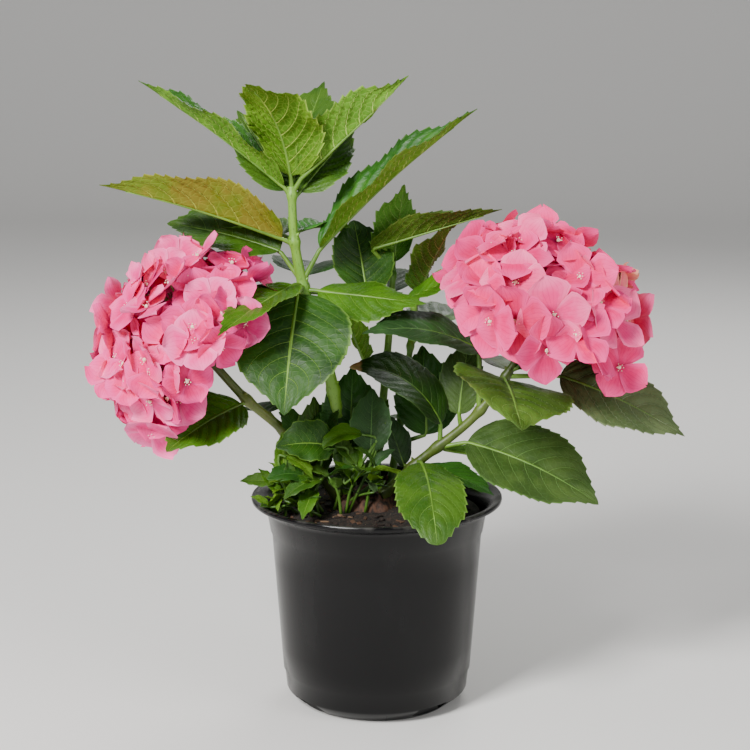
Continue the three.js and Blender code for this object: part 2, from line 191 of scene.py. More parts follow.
# The larger leaves of the tufts: where the blade starts, its heading, length, width, pitch at its start
# and its end, roll and finish.
SPROUT_LEAVES = {
    "sprouts_left": [
        ((-62, -20, 160), 100, 27, 12, 86, 66, 0, "lime"),
        ((-60, -22, 174), -14, 21, 10, -10, -64, 24, "lime"),
        ((-68, -18, 156), 184, 21, 10, 10, -6, -44, "mid"),
        ((-57, -24, 146), 116, 24, 10, 84, 70, 0, "mid"),
        ((-50, -24, 142), 60, 24, 10, 80, 58, 0, "bright"),
        ((-66, -20, 148), 150, 20, 9, 60, 30, -20, "bright"),
    ],
    "sprouts_middle": [
        ((-28, -16, 180), 193, 36, 29, 18, -14, -50, "front"),
        ((-48, -18, 160), 205, 25, 16, 26, -24, -34, "deep"),
        ((-38, -20, 158), 216, 28, 13, 8, -44, -22, "mid"),
        ((-42, -20, 150), 252, 24, 12, -12, -50, 0, "bright"),
        ((-52, -6, 180), 128, 28, 18, 64, 28, 0, "deep"),
        ((-36, -6, 184), 62, 26, 16, 66, 34, 0, "deep"),
        ((-32, -14, 172), 40, 24, 12, 40, 0, 10, "mid"),
    ],
    "sprouts_right": [
        ((-10, -16, 188), 192, 28, 14, 20, -58, -32, "bright"),
        ((-4, -14, 176), 84, 38, 26, 86, 60, 0, "grey"),
        ((2, -12, 190), 58, 20, 9, 72, 50, 0, "bright"),
        ((-22, -16, 160), 104, 27, 13, 82, 60, 0, "mid"),
        ((-17, -18, 158), 58, 25, 12, 72, 44, 0, "bright"),
        ((-4, -18, 163), -8, 29, 12, 18, -52, -28, "bright"),
        ((-14, -18, 168), 140, 22, 11, 50, 10, -14, "mid"),
    ],
}

# The young shoots of the tufts: radius at the foot and how much of it is lost, where the next one
# branches, how their tips turn in to the leaf, and the make of their blades.
SHOOT = {"radius": (1.15, 0.4), "sides": 7, "rows": 10, "branch": 0.3, "steepest": 60, "turn_in": 0.2,
         "leaf_scale": 1.12, "fold": 14, "tip": 0.85, "relief": 1.15, "leaf_rows": 26, "leaf_columns": 10,
         "pad": 0.03, "lean": (0.0, 0.3), "foot_x": (-8, 8), "foot_y": (-5, 6)}
# The shoots grown by rule: how far out and at what share of the tuft's height they end, how they arch,
# and their pairs of leaves.
GROWN = {"spread": (0.3, 0.8), "low": (-0.85, -0.5), "high": (-0.3, 0.4), "outward": 0.1, "arch": 6,
         "pairs": (0.6, 1.0), "long": (14, 23), "slim": (0.42, 0.55), "start": (35, 75), "droop": 45,
         "foot_x": (-15, 15), "foot_y": (-8, 10), "sway": 20, "roll": 25}

# Leaves: the stem and the height they leave it at, the stalk's heading, length and pitch, the blade's
# heading, length and width, its pitch at its start and its end, its roll, how far its halves fold up, how
# drawn out its tip is, and its finish.
LEAF_KEYS = ("stem", "at", "aim", "stalk", "rise", "heading", "long", "wide", "start", "end", "roll",
             "fold", "tip", "finish")
LEAVES = {
    "leaf_top_left": ("main_shoot", 345, 182, 9, 50, 182, 116, 42, 42, 31, 0, 30, 1, "young"),
    "leaf_top_front": ("main_shoot", 349, -120, 10, 82, -118, 86, 56, 78, 20, 0, 14, 0.9, "lime"),
    "leaf_top_back": ("main_shoot", 349, 66, 8, 70, 66, 78, 50, 62, 42, 0, 12, 1, "mid"),
    "leaf_top_right": ("main_shoot", 347, -14, 13, 58, -14, 98, 48, 42, 44, -30, 35, 1, "young"),
    "leaf_top_back_right": ("main_shoot", 343, 40, 8, 36, 40, 60, 44, 44, 34, 24, 10, 1, "mid"),
    "leaf_top_back_left": ("main_shoot", 343, 138, 8, 46, 138, 68, 44, 52, 44, -24, 10, 1, "mid"),
    "leaf_upper_left": ("main_shoot", 313, -172, 10, 26, -172, 124, 50, 23, 12, 30, 40, 1, "amber"),
    "leaf_upper_back": ("main_shoot", 318, 60, 8, 30, 60, 60, 38, 8, -25, 0, 10, 1, "rib"),
    "leaf_middle_left": ("main_shoot", 288, 160, 26, 52, 160, 84, 54, 18, 2, -34, 20, 0.8, "mid"),
    "leaf_upper_right": ("main_shoot", 288, 2, 26, 62, 2, 138, 42, 48, 35, 10, 38, 1, "young"),
    "leaf_front": ("main_shoot", 286, -98, 20, -8, -98, 88, 80, -40, -66, 0, 6, 0.9, "front"),
    "leaf_front_left": ("main_shoot", 286, -120, 12, 10, -117, 98, 34, -5, -17, -6, 12, 1, "bright"),
    "leaf_front_right": ("main_shoot", 283, -20, 10, 0, -16, 74, 46, -2, -6, 26, -14, 1, "bright"),
    "leaf_back_upright": ("main_shoot", 282, 18, 44, -6, 108, 56, 44, 64, 50, 0, 10, 0.7, "front"),
    "leaf_back_tip": ("back_shoot", 288, -60, 9, 80, -60, 56, 36, 84, 68, 0, 14, 1, "rib"),
    "leaf_back_long": ("back_shoot", 290, 215, 25, 44, -6, 92, 36, 18, 17, -8, 42, 1.1, "olive"),
    "leaf_head_back": ("back_right_shoot", 264, -30, 13, 70, -30, 62, 46, 72, 50, 0, 14, 1, "rib"),
    "leaf_head_front": ("back_shoot", 262, -70, 30, 25, -30, 60, 34, 30, 18, 24, 6, 1, "bright"),
    "leaf_shade_left": ("right_flower_stem", 202, -100, 43, 84, -160, 86, 50, 34, -12, -20, 4, 1, "grey"),
    "leaf_shade_olive": ("back_shoot", 218, -150, 22, 40, -150, 50, 30, 70, 60, 0, 14, 1, "young"),
    "leaf_burnt_tip": ("right_flower_stem", 178, 168, 15, 92, 174, 78, 46, 70, -8, -22, 8, 0.7, "burnt"),
    "leaf_stem_front": ("right_flower_stem", 224, -86, 8, 10, -86, 80, 82, 4, -28, -17, 6, 0.9, "curled"),
    "leaf_far_right": ("right_flower_stem", 226, -6, 36, 2, -8, 92, 58, -16, -34, 36, 6, 1, "pale"),
    "leaf_under_head": ("right_flower_stem", 230, -20, 6, 20, -20, 38, 22, 36, 24, 20, 8, 1, "bright"),
    "leaf_low_right": ("right_flower_stem", 176, -14, 22, 14, -20, 98, 62, -8, -34, 34, 6, 0.8, "matt"),
    "leaf_low_right_small": ("right_flower_stem", 176, 14, 6, -10, 14, 42, 18, -10, -24, -30, 14, 1, "mid"),
    "leaf_over_rim": ("right_flower_stem", 166, -84, 16, 12, -84, 90, 46, 6, -52, 0, -4, 0.45, "mid"),
    "leaf_soil_right": ("right_flower_stem", 162, -30, 8, 10, -30, 56, 34, 0, -26, 6, 4, 1, "deep"),
    "leaf_low_upright": ("right_flower_stem", 162, 165, 6, 10, 160, 40, 30, 74, 62, -10, 10, 1, "grey"),
    "leaf_shade_right": ("back_right_shoot", 172, -12, 22, 20, 100, 62, 46, 86, 62, 0, 10, 0.9, "deep"),
    "leaf_shade_middle": ("main_shoot", 168, -60, 10, 30, 84, 58, 42, 84, 66, 0, 10, 0.9, "deep"),
    "leaf_shade_low": ("left_flower_stem", 160, -70, 8, 40, 104, 46, 34, 80, 60, 0, 10, 1, "mid"),
    "leaf_shade_stem": ("right_flower_stem", 190, 96, 14, 30, 64, 54, 34, 80, 60, 0, 10, 0.9, "matt"),
    # leaf_low_left wears the bright finish as painted light, lifting it out of the left head's shadow.
    "leaf_low_left": ("left_flower_stem", 208, -140, 6, -10, -136, 68, 48, -8, -30, -24, 8, 0.8, "bright"),
    "leaf_rear_upper": ("main_shoot", 316, 128, 14, 10, 128, 88, 52, 6, -30, 0, 12, 1, "mid"),
    "leaf_rear_middle": ("main_shoot", 284, 84, 16, 24, 84, 96, 58, 10, -24, 0, 10, 1, "deep"),
    "leaf_rear_left": ("main_shoot", 250, 142, 22, 26, 142, 92, 60, 8, -26, 0, 8, 0.8, "front"),
    "leaf_rear_low": ("main_shoot", 214, 112, 26, 24, 112, 94, 62, 6, -30, 0, 8, 0.8, "mid"),
    "leaf_rear_left_low": ("left_flower_stem", 188, 118, 22, 20, 118, 86, 58, 0, -30, 0, 8, 1, "deep"),
    "leaf_rear_right": ("back_right_shoot", 238, 58, 20, 30, 58, 90, 54, 14, -20, 0, 10, 1, "mid"),
    "leaf_rear_centre": ("back_shoot", 264, 96, 18, 30, 96, 88, 54, 16, -18, 0, 10, 1, "front"),
    "leaf_rear_right_low": ("back_right_shoot", 190, 34, 24, 20, 34, 92, 60, 0, -28, 0, 8, 0.8, "deep"),
    "leaf_rear_stem": ("right_flower_stem", 222, 74, 16, 20, 74, 84, 54, 4, -24, 0, 8, 1, "matt"),
    "leaf_rear_foot": ("back_shoot", 172, 100, 22, 24, 100, 80, 56, -2, -34, 0, 8, 0.8, "mid"),
}

# Leaf finishes: upper side, its second tone, upper veins, under side, its second tone, under ribs and
# roughness.
FINISHES = {
    "lime": ("#48700c", "#5c8418", "#9cbc48", "#446c08", "#588012", "#b4d058", 0.46),
    "young": ("#22560f", "#366c16", "#7cab48", "#487414", "#5c8a20", "#b0d062", 0.44),
    "amber": ("#377018", "#5f8f22", "#98b848", "#5a6e10", "#706a1c", "#a0a840", 0.46),
    "deep": ("#1f480e", "#2b5616", "#58883c", "#3c6a1e", "#4d7c2a", "#7ea24e", 0.42),
    "olive": ("#2a480f", "#3c5814", "#70883a", "#38560f", "#4a6a1c", "#88a04a", 0.50),
    "rib": ("#2f6c1c", "#438226", "#7fb052", "#3c7016", "#528626", "#a4cc62", 0.48),
    "front": ("#163803", "#254c06", "#7ca43c", "#588a2c", "#6f9f3c", "#9cc266", 0.50),
    "bright": ("#345c06", "#44700a", "#8cb444", "#62941e", "#7cab2e", "#acd05e", 0.46),
    "grey": ("#223f1a", "#305426", "#66904c", "#46683a", "#5a7c48", "#86a46c", 0.50),
    "mid": ("#2c500e", "#406216", "#80a848", "#54842e", "#6a9a3e", "#94bc66", 0.42),
    "matt": ("#304818", "#425a24", "#70984c", "#4c7632", "#628c42", "#8cae68", 0.50),
    "curled": ("#3a5818", "#54742a", "#8cb058", "#78a040", "#90b456", "#b0cc7c", 0.44),
    # The pale finish is painted light: a lighter leaf colour for leaf_far_right, standing in for the sheen
    # on it and lifting it out of the right head's shadow.
    "pale": ("#46582e", "#5c6c40", "#a0b086", "#586a48", "#6c7c58", "#94a87c", 0.55),
    "burnt": ("#1a380a", "#264810", "#668f40", "#587e30", "#6e9440", "#94b262", 0.48),
}
# How much deeper or shallower than usual the leaves of a finish are puffed between their veins.
RELIEF = {"lime": 1.5, "young": 1.5, "rib": 1.5, "amber": 1.3, "front": 0.8, "deep": 0.8, "matt": 0.8,
          "grey": 0.6, "burnt": 0.55}
# How strongly the net and the side veins show on each side of a leaf, how broad the veins are, the gloss,
# and the relief: its depth in millimetres, and whether the veins sink into the side or stand out from it.
LEAF_SIDES = {
    "upper": {"net": 0.05, "veins": 0.5, "breadth": 1.0, "rougher": 0.0, "specular": 0.28, "depth": 0.32,
              "stand": -1.0},
    "under": {"net": 0.14, "veins": 0.72, "breadth": 2.0, "rougher": 0.16, "specular": 0.2, "depth": 0.6,
              "stand": 1.0},
}
# Veins as shares of the blade: half widths at the midrib and what they lose outward, where they fade
# before the margin, the midrib's half width and what it loses toward the tip, and the cells of the net.
VEINS = {"width": (0.040, -0.016), "fade": (0.80, 0.97), "rib": (0.044, -0.024), "cells": (15, 24, 1),
         "net": 0.16}
# How many faint veins fan out over half a sepal.
SEPAL_VEINS = 4.5
# The withered leaf tip's two browns, and the two greens of the leaf stalks.
WITHERED = ("#b06c3c", "#f2c8a0")
STALKS = ("#6c9230", "#527820")

# The blade's make: rows and columns of the mesh, thickness, veins a side, how far they sweep forward,
# puffing between the veins, depth of the middle groove, the tooth, its forward hook and the length of
# margin it takes, and the waves of the margin.
BLADE = {"rows": 96, "columns": 20, "thick": 0.42, "veins": 8.4, "sweep": 0.33, "bow": 1.45,
         "stagger": 0.45, "puff": 1.8, "groove": 0.9, "tooth": 1.7, "tooth_run": 6.6, "base_fill": 0.55,
         "wave": 1.5, "drawn": 0.4, "foot": 1.6, "end": 0.35, "hook": 0.9, "groove_half": 0.13,
         "wave_shift": 1.7}
# The leaf stalk: its radii, its mesh, its bare share, and how far under the blade the rest runs.
STALK = {"foot": 1.9, "neck": 1.35, "end": 0.3, "sides": 8, "rows": 22, "bare": 0.38, "reach": 0.86,
         "under": 0.55}
# Shares of a leaf's own map: the stalk's strip along the bottom, and the gap round each part.
STRIP = 0.08
EDGE = 0.01
MERGE = 1e-6
FULL_TURN = 6.28

# The backdrop, in metres: its width, where it starts and bends up, the bend's radius and its top.
# Its rows are shared out between the flat part, the bend and the wall.
BACKDROP = {"wide": 22, "front": -9.0, "back": 2.6, "bend": 1.2, "top": 4.0, "rows": 40,
            "parts": (0.25, 0.75)}
# Lights: name, place in metres, size and power; all of them look at the middle of the plant.
LIGHTS = (
    ("key_light", (-0.9, -1.2, 1.25), 0.5, 58),
    ("fill_light", (1.3, -0.9, 0.8), 0.9, 10),
    ("back_light", (0.4, 1.3, 1.3), 0.8, 12),
)
LIT = (0, 0, 0.22)
WORLD = ("#e4e6ea", 0.42)


def linear(text):
    """An sRGB hex colour as a linear RGBA tuple."""
    out = []
    for k in (1, 3, 5):
        c = int(text[k:k + 2], 16) / 255
        out.append(c / 12.92 if c <= 0.04045 else ((c + 0.055) / 1.055) ** 2.4)
    return (*out, 1.0)


def direction(heading, pitch):
    """The unit vector at that heading and elevation, in degrees."""
    h = math.radians(heading)
    p = math.radians(pitch)
    return Vector((math.cos(p) * math.cos(h), math.cos(p) * math.sin(h), math.sin(p)))


def clamp(value, low=0.0, high=1.0):
    """The value kept between low and high."""
    return max(low, min(high, value))


def either_way(rng, most):
    """A random value between -most and most."""
    return rng.uniform(-most, most)


def smooth(low, high, value):
    """0 at low and 1 at high, easing in and out between them."""
    t = clamp((value - low) / (high - low))
    return t * t * (3 - 2 * t)


# ---------------------------------------------------------------- curves

class Curve:
    """A centripetal Catmull-Rom curve through the points, sampled evenly in its own parameter."""

    SAMPLES = 240

    def __init__(self, points):
        pts = [Vector(p) * MM for p in points]
        pts = [pts[0] * 2 - pts[1]] + pts + [pts[-1] * 2 - pts[-2]]
        spans = len(pts) - 3
        self.line = []
        for k in range(self.SAMPLES + 1):
            t = min(k / self.SAMPLES * spans, spans - 1e-9)
            i = int(t)
            self.line.append(self.segment(pts[i:i + 4], t - i))

    @staticmethod
    def segment(p, t):
        """The curve's point at the share t between the middle two of four points."""
        knots = [0.0]
        for a, b in zip(p, p[1:]):
            knots.append(knots[-1] + max((b - a).length ** 0.5, 1e-6))
        t = knots[1] + t * (knots[2] - knots[1])
        level = list(p)
        for width in (1, 2, 3):
            level = [
                level[k].lerp(level[k + 1], share_at(t, knots, k, width))
                for k in range(len(level) - 1)
            ]
        return level[0]

    def at(self, u):
        """The point at the share u of the curve."""
        f = clamp(u) * self.SAMPLES
        i = min(int(f), self.SAMPLES - 1)
        return self.line[i].lerp(self.line[i + 1], f - i)

    def u_at_height(self, z):
        """The share of the curve at which it first reaches the height z, in millimetres."""
        z *= MM
        for k in range(self.SAMPLES):
            low, high = self.line[k].z, self.line[k + 1].z
            if low <= z <= high and high > low:
                return (k + (z - low) / (high - low)) / self.SAMPLES
        return 1.0 if z > self.line[-1].z else 0.0


def share_at(t, knots, k, width):
    """The share of the second of two neighbours in one level of the Barry-Goldman pyramid."""
    low, high = (1, 2) if width == 3 else (k, k + width)
    return (t - knots[low]) / (knots[high] - knots[low])


CURVES = {name: Curve(points) for name, (_, _, points) in STEMS.items()}


# ---------------------------------------------------------------- materials

def node(tree, kind, settings=None, inputs=None):
    """Adds a node, sets its settings, and links or sets its inputs."""
    made = tree.nodes.new(kind)
    for key, value in (settings or {}).items():
        setattr(made, key, value)
    for key, value in (inputs or {}).items():
        if isinstance(value, bpy.types.NodeSocket):
            tree.links.new(value, made.inputs[key])
        else:
            made.inputs[key].default_value = value
    return made


def sum_of(tree, operation, a, b=0.0, c=0.0):
    """One step of arithmetic."""
    return node(tree, "ShaderNodeMath", {"operation": operation}, {0: a, 1: b, 2: c}).outputs[0]


def blend(tree, share, a, b):
    """Colour a turning to colour b by the share."""
    a = linear(a) if isinstance(a, str) else a
    b = linear(b) if isinstance(b, str) else b
    return node(tree, "ShaderNodeMix", {"data_type": "RGBA"}, {0: share, 6: a, 7: b}).outputs[2]


def ramp(tree, value, low, high, start=0.0, end=1.0):
    """The value's range low to high, stretched smoothly over start to end."""
    made = node(tree, "ShaderNodeMapRange", {"interpolation_type": "SMOOTHSTEP"},
                {0: value, 1: low, 2: high, 3: start, 4: end})
    return made.outputs[0]


def cloud(tree, scale, detail, stretch=(1, 1, 1)):
    """Soft noise in object space, with features about 1/scale metres across."""
    where = node(tree, "ShaderNodeTexCoord").outputs["Object"]
    turned = node(tree, "ShaderNodeMapping", None, {"Vector": where, "Scale": stretch}).outputs[0]
    inputs = {"Vector": turned, "Scale": scale, "Detail": detail}
    return node(tree, "ShaderNodeTexNoise", None, inputs).outputs[0]


def material(name):
    """A new material: its tree and its shader."""
    made = bpy.data.materials.new(name)
    made.use_nodes = True
    return made, made.node_tree, made.node_tree.nodes["Principled BSDF"]


def bump(tree, shader, height, depth, strength=1.0):
    """Relief of that depth in millimetres."""
    inputs = {"Height": height, "Distance": depth * MM, "Strength": strength}
    made = node(tree, "ShaderNodeBump", None, inputs)
    tree.links.new(made.outputs[0], shader.inputs["Normal"])


def plain(name, colour, roughness, specular=0.5):
    """A material of one even colour."""
    made, _, shader = material(name)
    shader.inputs["Base Color"].default_value = linear(colour)
    shader.inputs["Roughness"].default_value = roughness
    shader.inputs["Specular IOR Level"].default_value = specular
    return made


def blade_map(tree):
    """Across (-1 at one margin, 1 at the other) and along (0 at the stalk, 1 at the tip) of a blade."""
    where = node(tree, "ShaderNodeUVMap", {"uv_map": "Blade"}).outputs[0]
    split = node(tree, "ShaderNodeSeparateXYZ", None, {0: where})
    across = sum_of(tree, "MULTIPLY_ADD", split.outputs[0], 2.0, -1.0)
    return where, across, split.outputs[1]


def vein_masks(tree, breadth):
    """Masks of the side veins, the midrib and the fine net, and the run along and across the blade."""
    where, across, along = blade_map(tree)
    out = sum_of(tree, "ABSOLUTE", across)
    bowed = sum_of(tree, "MULTIPLY", sum_of(tree, "POWER", out, BLADE["bow"]), BLADE["sweep"])
    phase = sum_of(tree, "MULTIPLY", sum_of(tree, "SUBTRACT", along, bowed), BLADE["veins"])
    side = sum_of(tree, "LESS_THAN", across, 0.0)
    phase = sum_of(tree, "MULTIPLY_ADD", side, BLADE["stagger"], phase)
    near = sum_of(tree, "PINGPONG", phase, 0.5)
    start, loss = VEINS["width"]
    width = sum_of(tree, "MULTIPLY_ADD", out, loss, start)
    veins = sum_of(tree, "SUBTRACT", 1.0, ramp(tree, sum_of(tree, "DIVIDE", near, width), 0.25, breadth))
    veins = sum_of(tree, "MULTIPLY", veins, ramp(tree, out, *VEINS["fade"], 1.0, 0.0))
    start, loss = VEINS["rib"]
    rib_width = sum_of(tree, "MULTIPLY_ADD", along, loss, start)
    rib = sum_of(tree, "SUBTRACT", 1.0, ramp(tree, sum_of(tree, "DIVIDE", out, rib_width), 0.45, 1.0))
    spread = node(tree, "ShaderNodeMapping", None, {"Vector": where, "Scale": VEINS["cells"]}).outputs[0]
    settings = {"voronoi_dimensions": "2D", "feature": "DISTANCE_TO_EDGE"}
    cells = node(tree, "ShaderNodeTexVoronoi", settings, {"Vector": spread, "Scale": 1.0})
    net = sum_of(tree, "SUBTRACT", 1.0, ramp(tree, cells.outputs["Distance"], 0.0, VEINS["net"]))
    return veins, rib, net, along, out


def leaf_side(side, name, low, high, vein, roughness, withered):
    """One side of a hydrangea leaf: two greens in soft clouds, paler veins and midrib, and a fine net."""
    look = LEAF_SIDES[side]
    made, tree, shader = material(f"leaf {side} side, {name}")
    veins, rib, net, along, out = vein_masks(tree, look["breadth"])
    tone = ramp(tree, cloud(tree, 42, 2.0), 0.38, 0.62)
    colour = blend(tree, tone, low, high)
    colour = blend(tree, sum_of(tree, "MULTIPLY", net, look["net"]), colour, vein)
    colour = blend(tree, sum_of(tree, "MULTIPLY", veins, look["veins"]), colour, vein)
    colour = blend(tree, sum_of(tree, "MULTIPLY", rib, 0.75), colour, vein)
    colour = blend(tree, ramp(tree, out, 0.93, 1.0, 0.0, 0.45), colour, vein)
    if withered:
        edge = sum_of(tree, "ADD", along, sum_of(tree, "MULTIPLY", cloud(tree, 90, 3.0), 0.12))
        dead = ramp(tree, edge, 0.93, 0.965)
        colour = blend(tree, dead, colour, blend(tree, tone, *WITHERED))
    tree.links.new(colour, shader.inputs["Base Color"])
    roughness += look["rougher"]
    gloss = ramp(tree, cloud(tree, 120, 3.0), 0.3, 0.7, roughness - 0.04, roughness + 0.08)
    tree.links.new(gloss, shader.inputs["Roughness"])
    shader.inputs["Specular IOR Level"].default_value = look["specular"]
    lines = sum_of(tree, "ADD", sum_of(tree, "MULTIPLY", net, 0.22), sum_of(tree, "MAXIMUM", veins, rib))
    grain = sum_of(tree, "MULTIPLY", cloud(tree, 900, 2.0), 0.16)
    bump(tree, shader, sum_of(tree, "MULTIPLY_ADD", lines, look["stand"], grain), look["depth"])
    return made


def sepal_side(name, middle, edge, throat):
    """A sepal: rosy and paler at its edge; its throat is darker, partly its own pink and partly painted
    shade; faint veins fan out.
    """
    made, tree, shader = material(name)
    _, across, along = blade_map(tree)
    out = sum_of(tree, "ABSOLUTE", across)
    rim = sum_of(tree, "MAXIMUM", out, along)
    colour = blend(tree, ramp(tree, rim, 0.45, 1.0), middle, edge)
    # Deeper pink toward the throat: partly the sepal's own colour, partly painted shade where the sepals
    # meet at the floret's centre.
    colour = blend(tree, ramp(tree, along, 0.0, 0.3, 0.85, 0.0), colour, throat)
    fan = sum_of(tree, "PINGPONG", sum_of(tree, "MULTIPLY", across, SEPAL_VEINS), 0.5)
    veins = ramp(tree, fan, 0.0, 0.16, 0.24, 0.0)
    colour = blend(tree, veins, colour, throat)
    mottle = ramp(tree, cloud(tree, 160, 3.0), 0.42, 0.68, 0.0, 0.35)
    colour = blend(tree, mottle, colour, edge)
    tree.links.new(colour, shader.inputs["Base Color"])
    shader.inputs["Roughness"].default_value = 0.55
    shader.inputs["Specular IOR Level"].default_value = 0.25
    bump(tree, shader, veins, -0.2)
    return made


def stem_skin(name, low, high, speck):
    """Smooth green stem skin with fine dark speckles and faint ribs along it."""
    made, tree, shader = material(name)
    colour = blend(tree, ramp(tree, cloud(tree, 60, 3.0, (1, 1, 0.3)), 0.35, 0.65), low, high)
    specks = ramp(tree, cloud(tree, 900, 1.0, (1, 1, 0.45)), 0.62, 0.68, 0.0, 0.55)
    colour = blend(tree, specks, colour, speck)
    tree.links.new(colour, shader.inputs["Base Color"])
    shader.inputs["Roughness"].default_value = 0.46
    bump(tree, shader, cloud(tree, 420, 2.0, (1, 1, 0.15)), 0.25)
    return made


def pot_plastic():
    """Black polypropylene, moulded: satin, with faint rubbed streaks and a greyer worn rim."""
    made, tree, shader = material("black polypropylene, moulded")
    where = node(tree, "ShaderNodeTexCoord").outputs["Object"]
    high = node(tree, "ShaderNodeSeparateXYZ", None, {0: where}).outputs[2]
    scuff = ramp(tree, cloud(tree, 34, 6.0, (1, 1, 0.35)), 0.56, 0.74)
    worn = ramp(tree, sum_of(tree, "MULTIPLY_ADD", cloud(tree, 70, 4.0), 0.012, high), 0.1475, 0.151)
    colour = blend(tree, sum_of(tree, "MULTIPLY", scuff, 0.5), "#050506", "#121213")
    colour = blend(tree, sum_of(tree, "MULTIPLY", worn, 0.6), colour, "#55534f")
    tree.links.new(colour, shader.inputs["Base Color"])
    gloss = sum_of(tree, "MULTIPLY_ADD", scuff, 0.16, 0.2)
    tree.links.new(sum_of(tree, "MULTIPLY_ADD", worn, 0.2, gloss), shader.inputs["Roughness"])
    shader.inputs["Specular IOR Level"].default_value = 0.26
    bump(tree, shader, cloud(tree, 26, 3.0, (1, 1, 0.25)), 0.5, 0.5)
    return made


def potting_mix():
    """Damp peaty potting mix: near-black brown crumbs with a few paler ones."""
    made, tree, shader = material("peat potting mix, damp")
    colour = blend(tree, ramp(tree, cloud(tree, 380, 4.0), 0.35, 0.7), "#0d0906", "#2e2016")
    colour = blend(tree, ramp(tree, cloud(tree, 900, 2.0), 0.68, 0.74), colour, "#7b6850")
    tree.links.new(colour, shader.inputs["Base Color"])
    shader.inputs["Roughness"].default_value = 0.9
    bump(tree, shader, cloud(tree, 500, 5.0), 1.2)
    return made


def crown_bark(name, low, high):
    """Flaky brown bark with its grain running up."""
    made, tree, shader = material(name)
    grain = cloud(tree, 260, 5.0, (1, 1, 0.22))
    colour = blend(tree, ramp(tree, grain, 0.35, 0.68), low, high)
    tree.links.new(colour, shader.inputs["Base Color"])
    shader.inputs["Roughness"].default_value = 0.82
    bump(tree, shader, grain, 1.4)
    return made


MADE = {}


def finish(key, make):
    """The material of that key, made the first time it is asked for."""
    if key not in MADE:
        MADE[key] = make()
    return MADE[key]


def leaf_materials(name):
    """Upper side, under side and stalk of a leaf finish."""
    *colours, roughness = FINISHES[name]
    dead = name == "burnt"
    upper = finish(("upper", name), lambda: leaf_side("upper", name, *colours[:3], roughness, dead))
    under = finish(("under", name), lambda: leaf_side("under", name, *colours[3:], roughness, dead))
    stalk = finish("stalk", lambda: stem_skin("leaf stalk skin", STALKS[1], STALKS[0], "#5d8a3c"))
    return [upper, under, stalk]


# ---------------------------------------------------------------- shapes

def patch(bm, columns, rows, place, maps, slot=0, flip=False, crisp=False):
    """A grid of faces laid by place(u, v), with each named map's own (u, v) rule and a material slot.

    A crisp patch keeps a sharp edge where its outline meets another patch's."""
    made = bmesh.ops.create_grid(bm, x_segments=columns, y_segments=rows, size=0.5)["verts"]
    faces = list({f for v in made for f in v.link_faces})
    layers = [(bm.loops.layers.uv[name], rule) for name, rule in maps.items()]
    for face in faces:
        face.material_index = slot
        face.smooth = True
        for loop in face.loops:
            co = loop.vert.co
            for layer, rule in layers:
                loop[layer].uv = rule(co.x + 0.5, co.y + 0.5)
    if crisp:
        for edge in {e for v in made for e in v.link_edges if len(e.link_faces) == 1}:
            edge.smooth = False
    for vert in made:
        vert.co = place(vert.co.x + 0.5, vert.co.y + 0.5)
    if flip:
        bmesh.ops.reverse_faces(bm, faces=faces)
    return made


def same(u, v):
    """A rule that leaves the grid's (u, v) as it is."""
    return (u, v)


def area(x0, y0, x1, y1):
    """A rule that puts the grid's (u, v) into that part of a map."""
    return lambda u, v: (x0 + (x1 - x0) * u, y0 + (y1 - y0) * v)


def tube(bm, sides, rows, centre, radius, bake=None, slot=0):
    """A closed round tube: centre(t) and radius(t) along it, drawn in to a point at both ends."""
    maps = {"Blade": same, "OFBake": bake} if bake else {"Blade": same}
    centres = [centre(k / (rows - 2)) for k in range(rows - 1)]
    turn = None
    frames = []
    for k, here in enumerate(centres):
        ahead = (centres[min(k + 1, rows - 2)] - centres[max(k - 1, 0)]).normalized()
        if turn is None:
            turn = ahead.orthogonal().normalized()
        turn = (turn - ahead * turn.dot(ahead)).normalized()
        frames.append((here, turn.copy(), ahead.cross(turn)))

    def place(u, v):
        row = round(v * rows)
        k = clamp(row - 1, 0, rows - 2)
        here, a, b = frames[int(k)]
        r = 0.0 if row in (0, rows) else radius(k / (rows - 2))
        angle = -2 * math.pi * u
        return here + a * (r * math.cos(angle)) + b * (r * math.sin(angle))

    verts = patch(bm, sides, rows, place, maps, slot, flip=True)
    bmesh.ops.remove_doubles(bm, verts=verts, dist=MERGE)


def new_mesh(maps=("Blade", "OFBake")):
    """An empty mesh with those maps: Blade steers the pattern, OFBake gives each part its own place."""
    bm = bmesh.new()
    for name in maps:
        bm.loops.layers.uv.new(name)
    return bm


def new_object(context, name, bm, materials=()):
    """Turns the mesh into an object at the origin, with its materials in their slots."""
    mesh = bpy.data.meshes.new(name)
    bm.to_mesh(mesh)
    bm.free()
    for made in materials:
        mesh.materials.append(made)
    obj = bpy.data.objects.new(name, mesh)
    context.collection.objects.link(obj)
    return obj


def piece(context, name, bm, materials, nodes):
    """Turns the mesh into a piece that rides on the plant's body and stands for the CAD nodes."""
    obj = new_object(context, name, bm, materials)
    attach(obj, BODY)
    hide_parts(*nodes)
    return obj


def line(start, end):
    """The straight run from start to end, for shares from 0 to 1."""
    return lambda t: start.lerp(end, t)


def taper(foot, loss):
    """A radius in millimetres that falls evenly by the loss from one end to the other."""
    return lambda t: (foot - loss * t) * MM


def ball(bm, centre, radius):
    """A small round ball."""
    bmesh.ops.create_icosphere(bm, subdivisions=1, radius=radius, matrix=Matrix.Translation(centre))


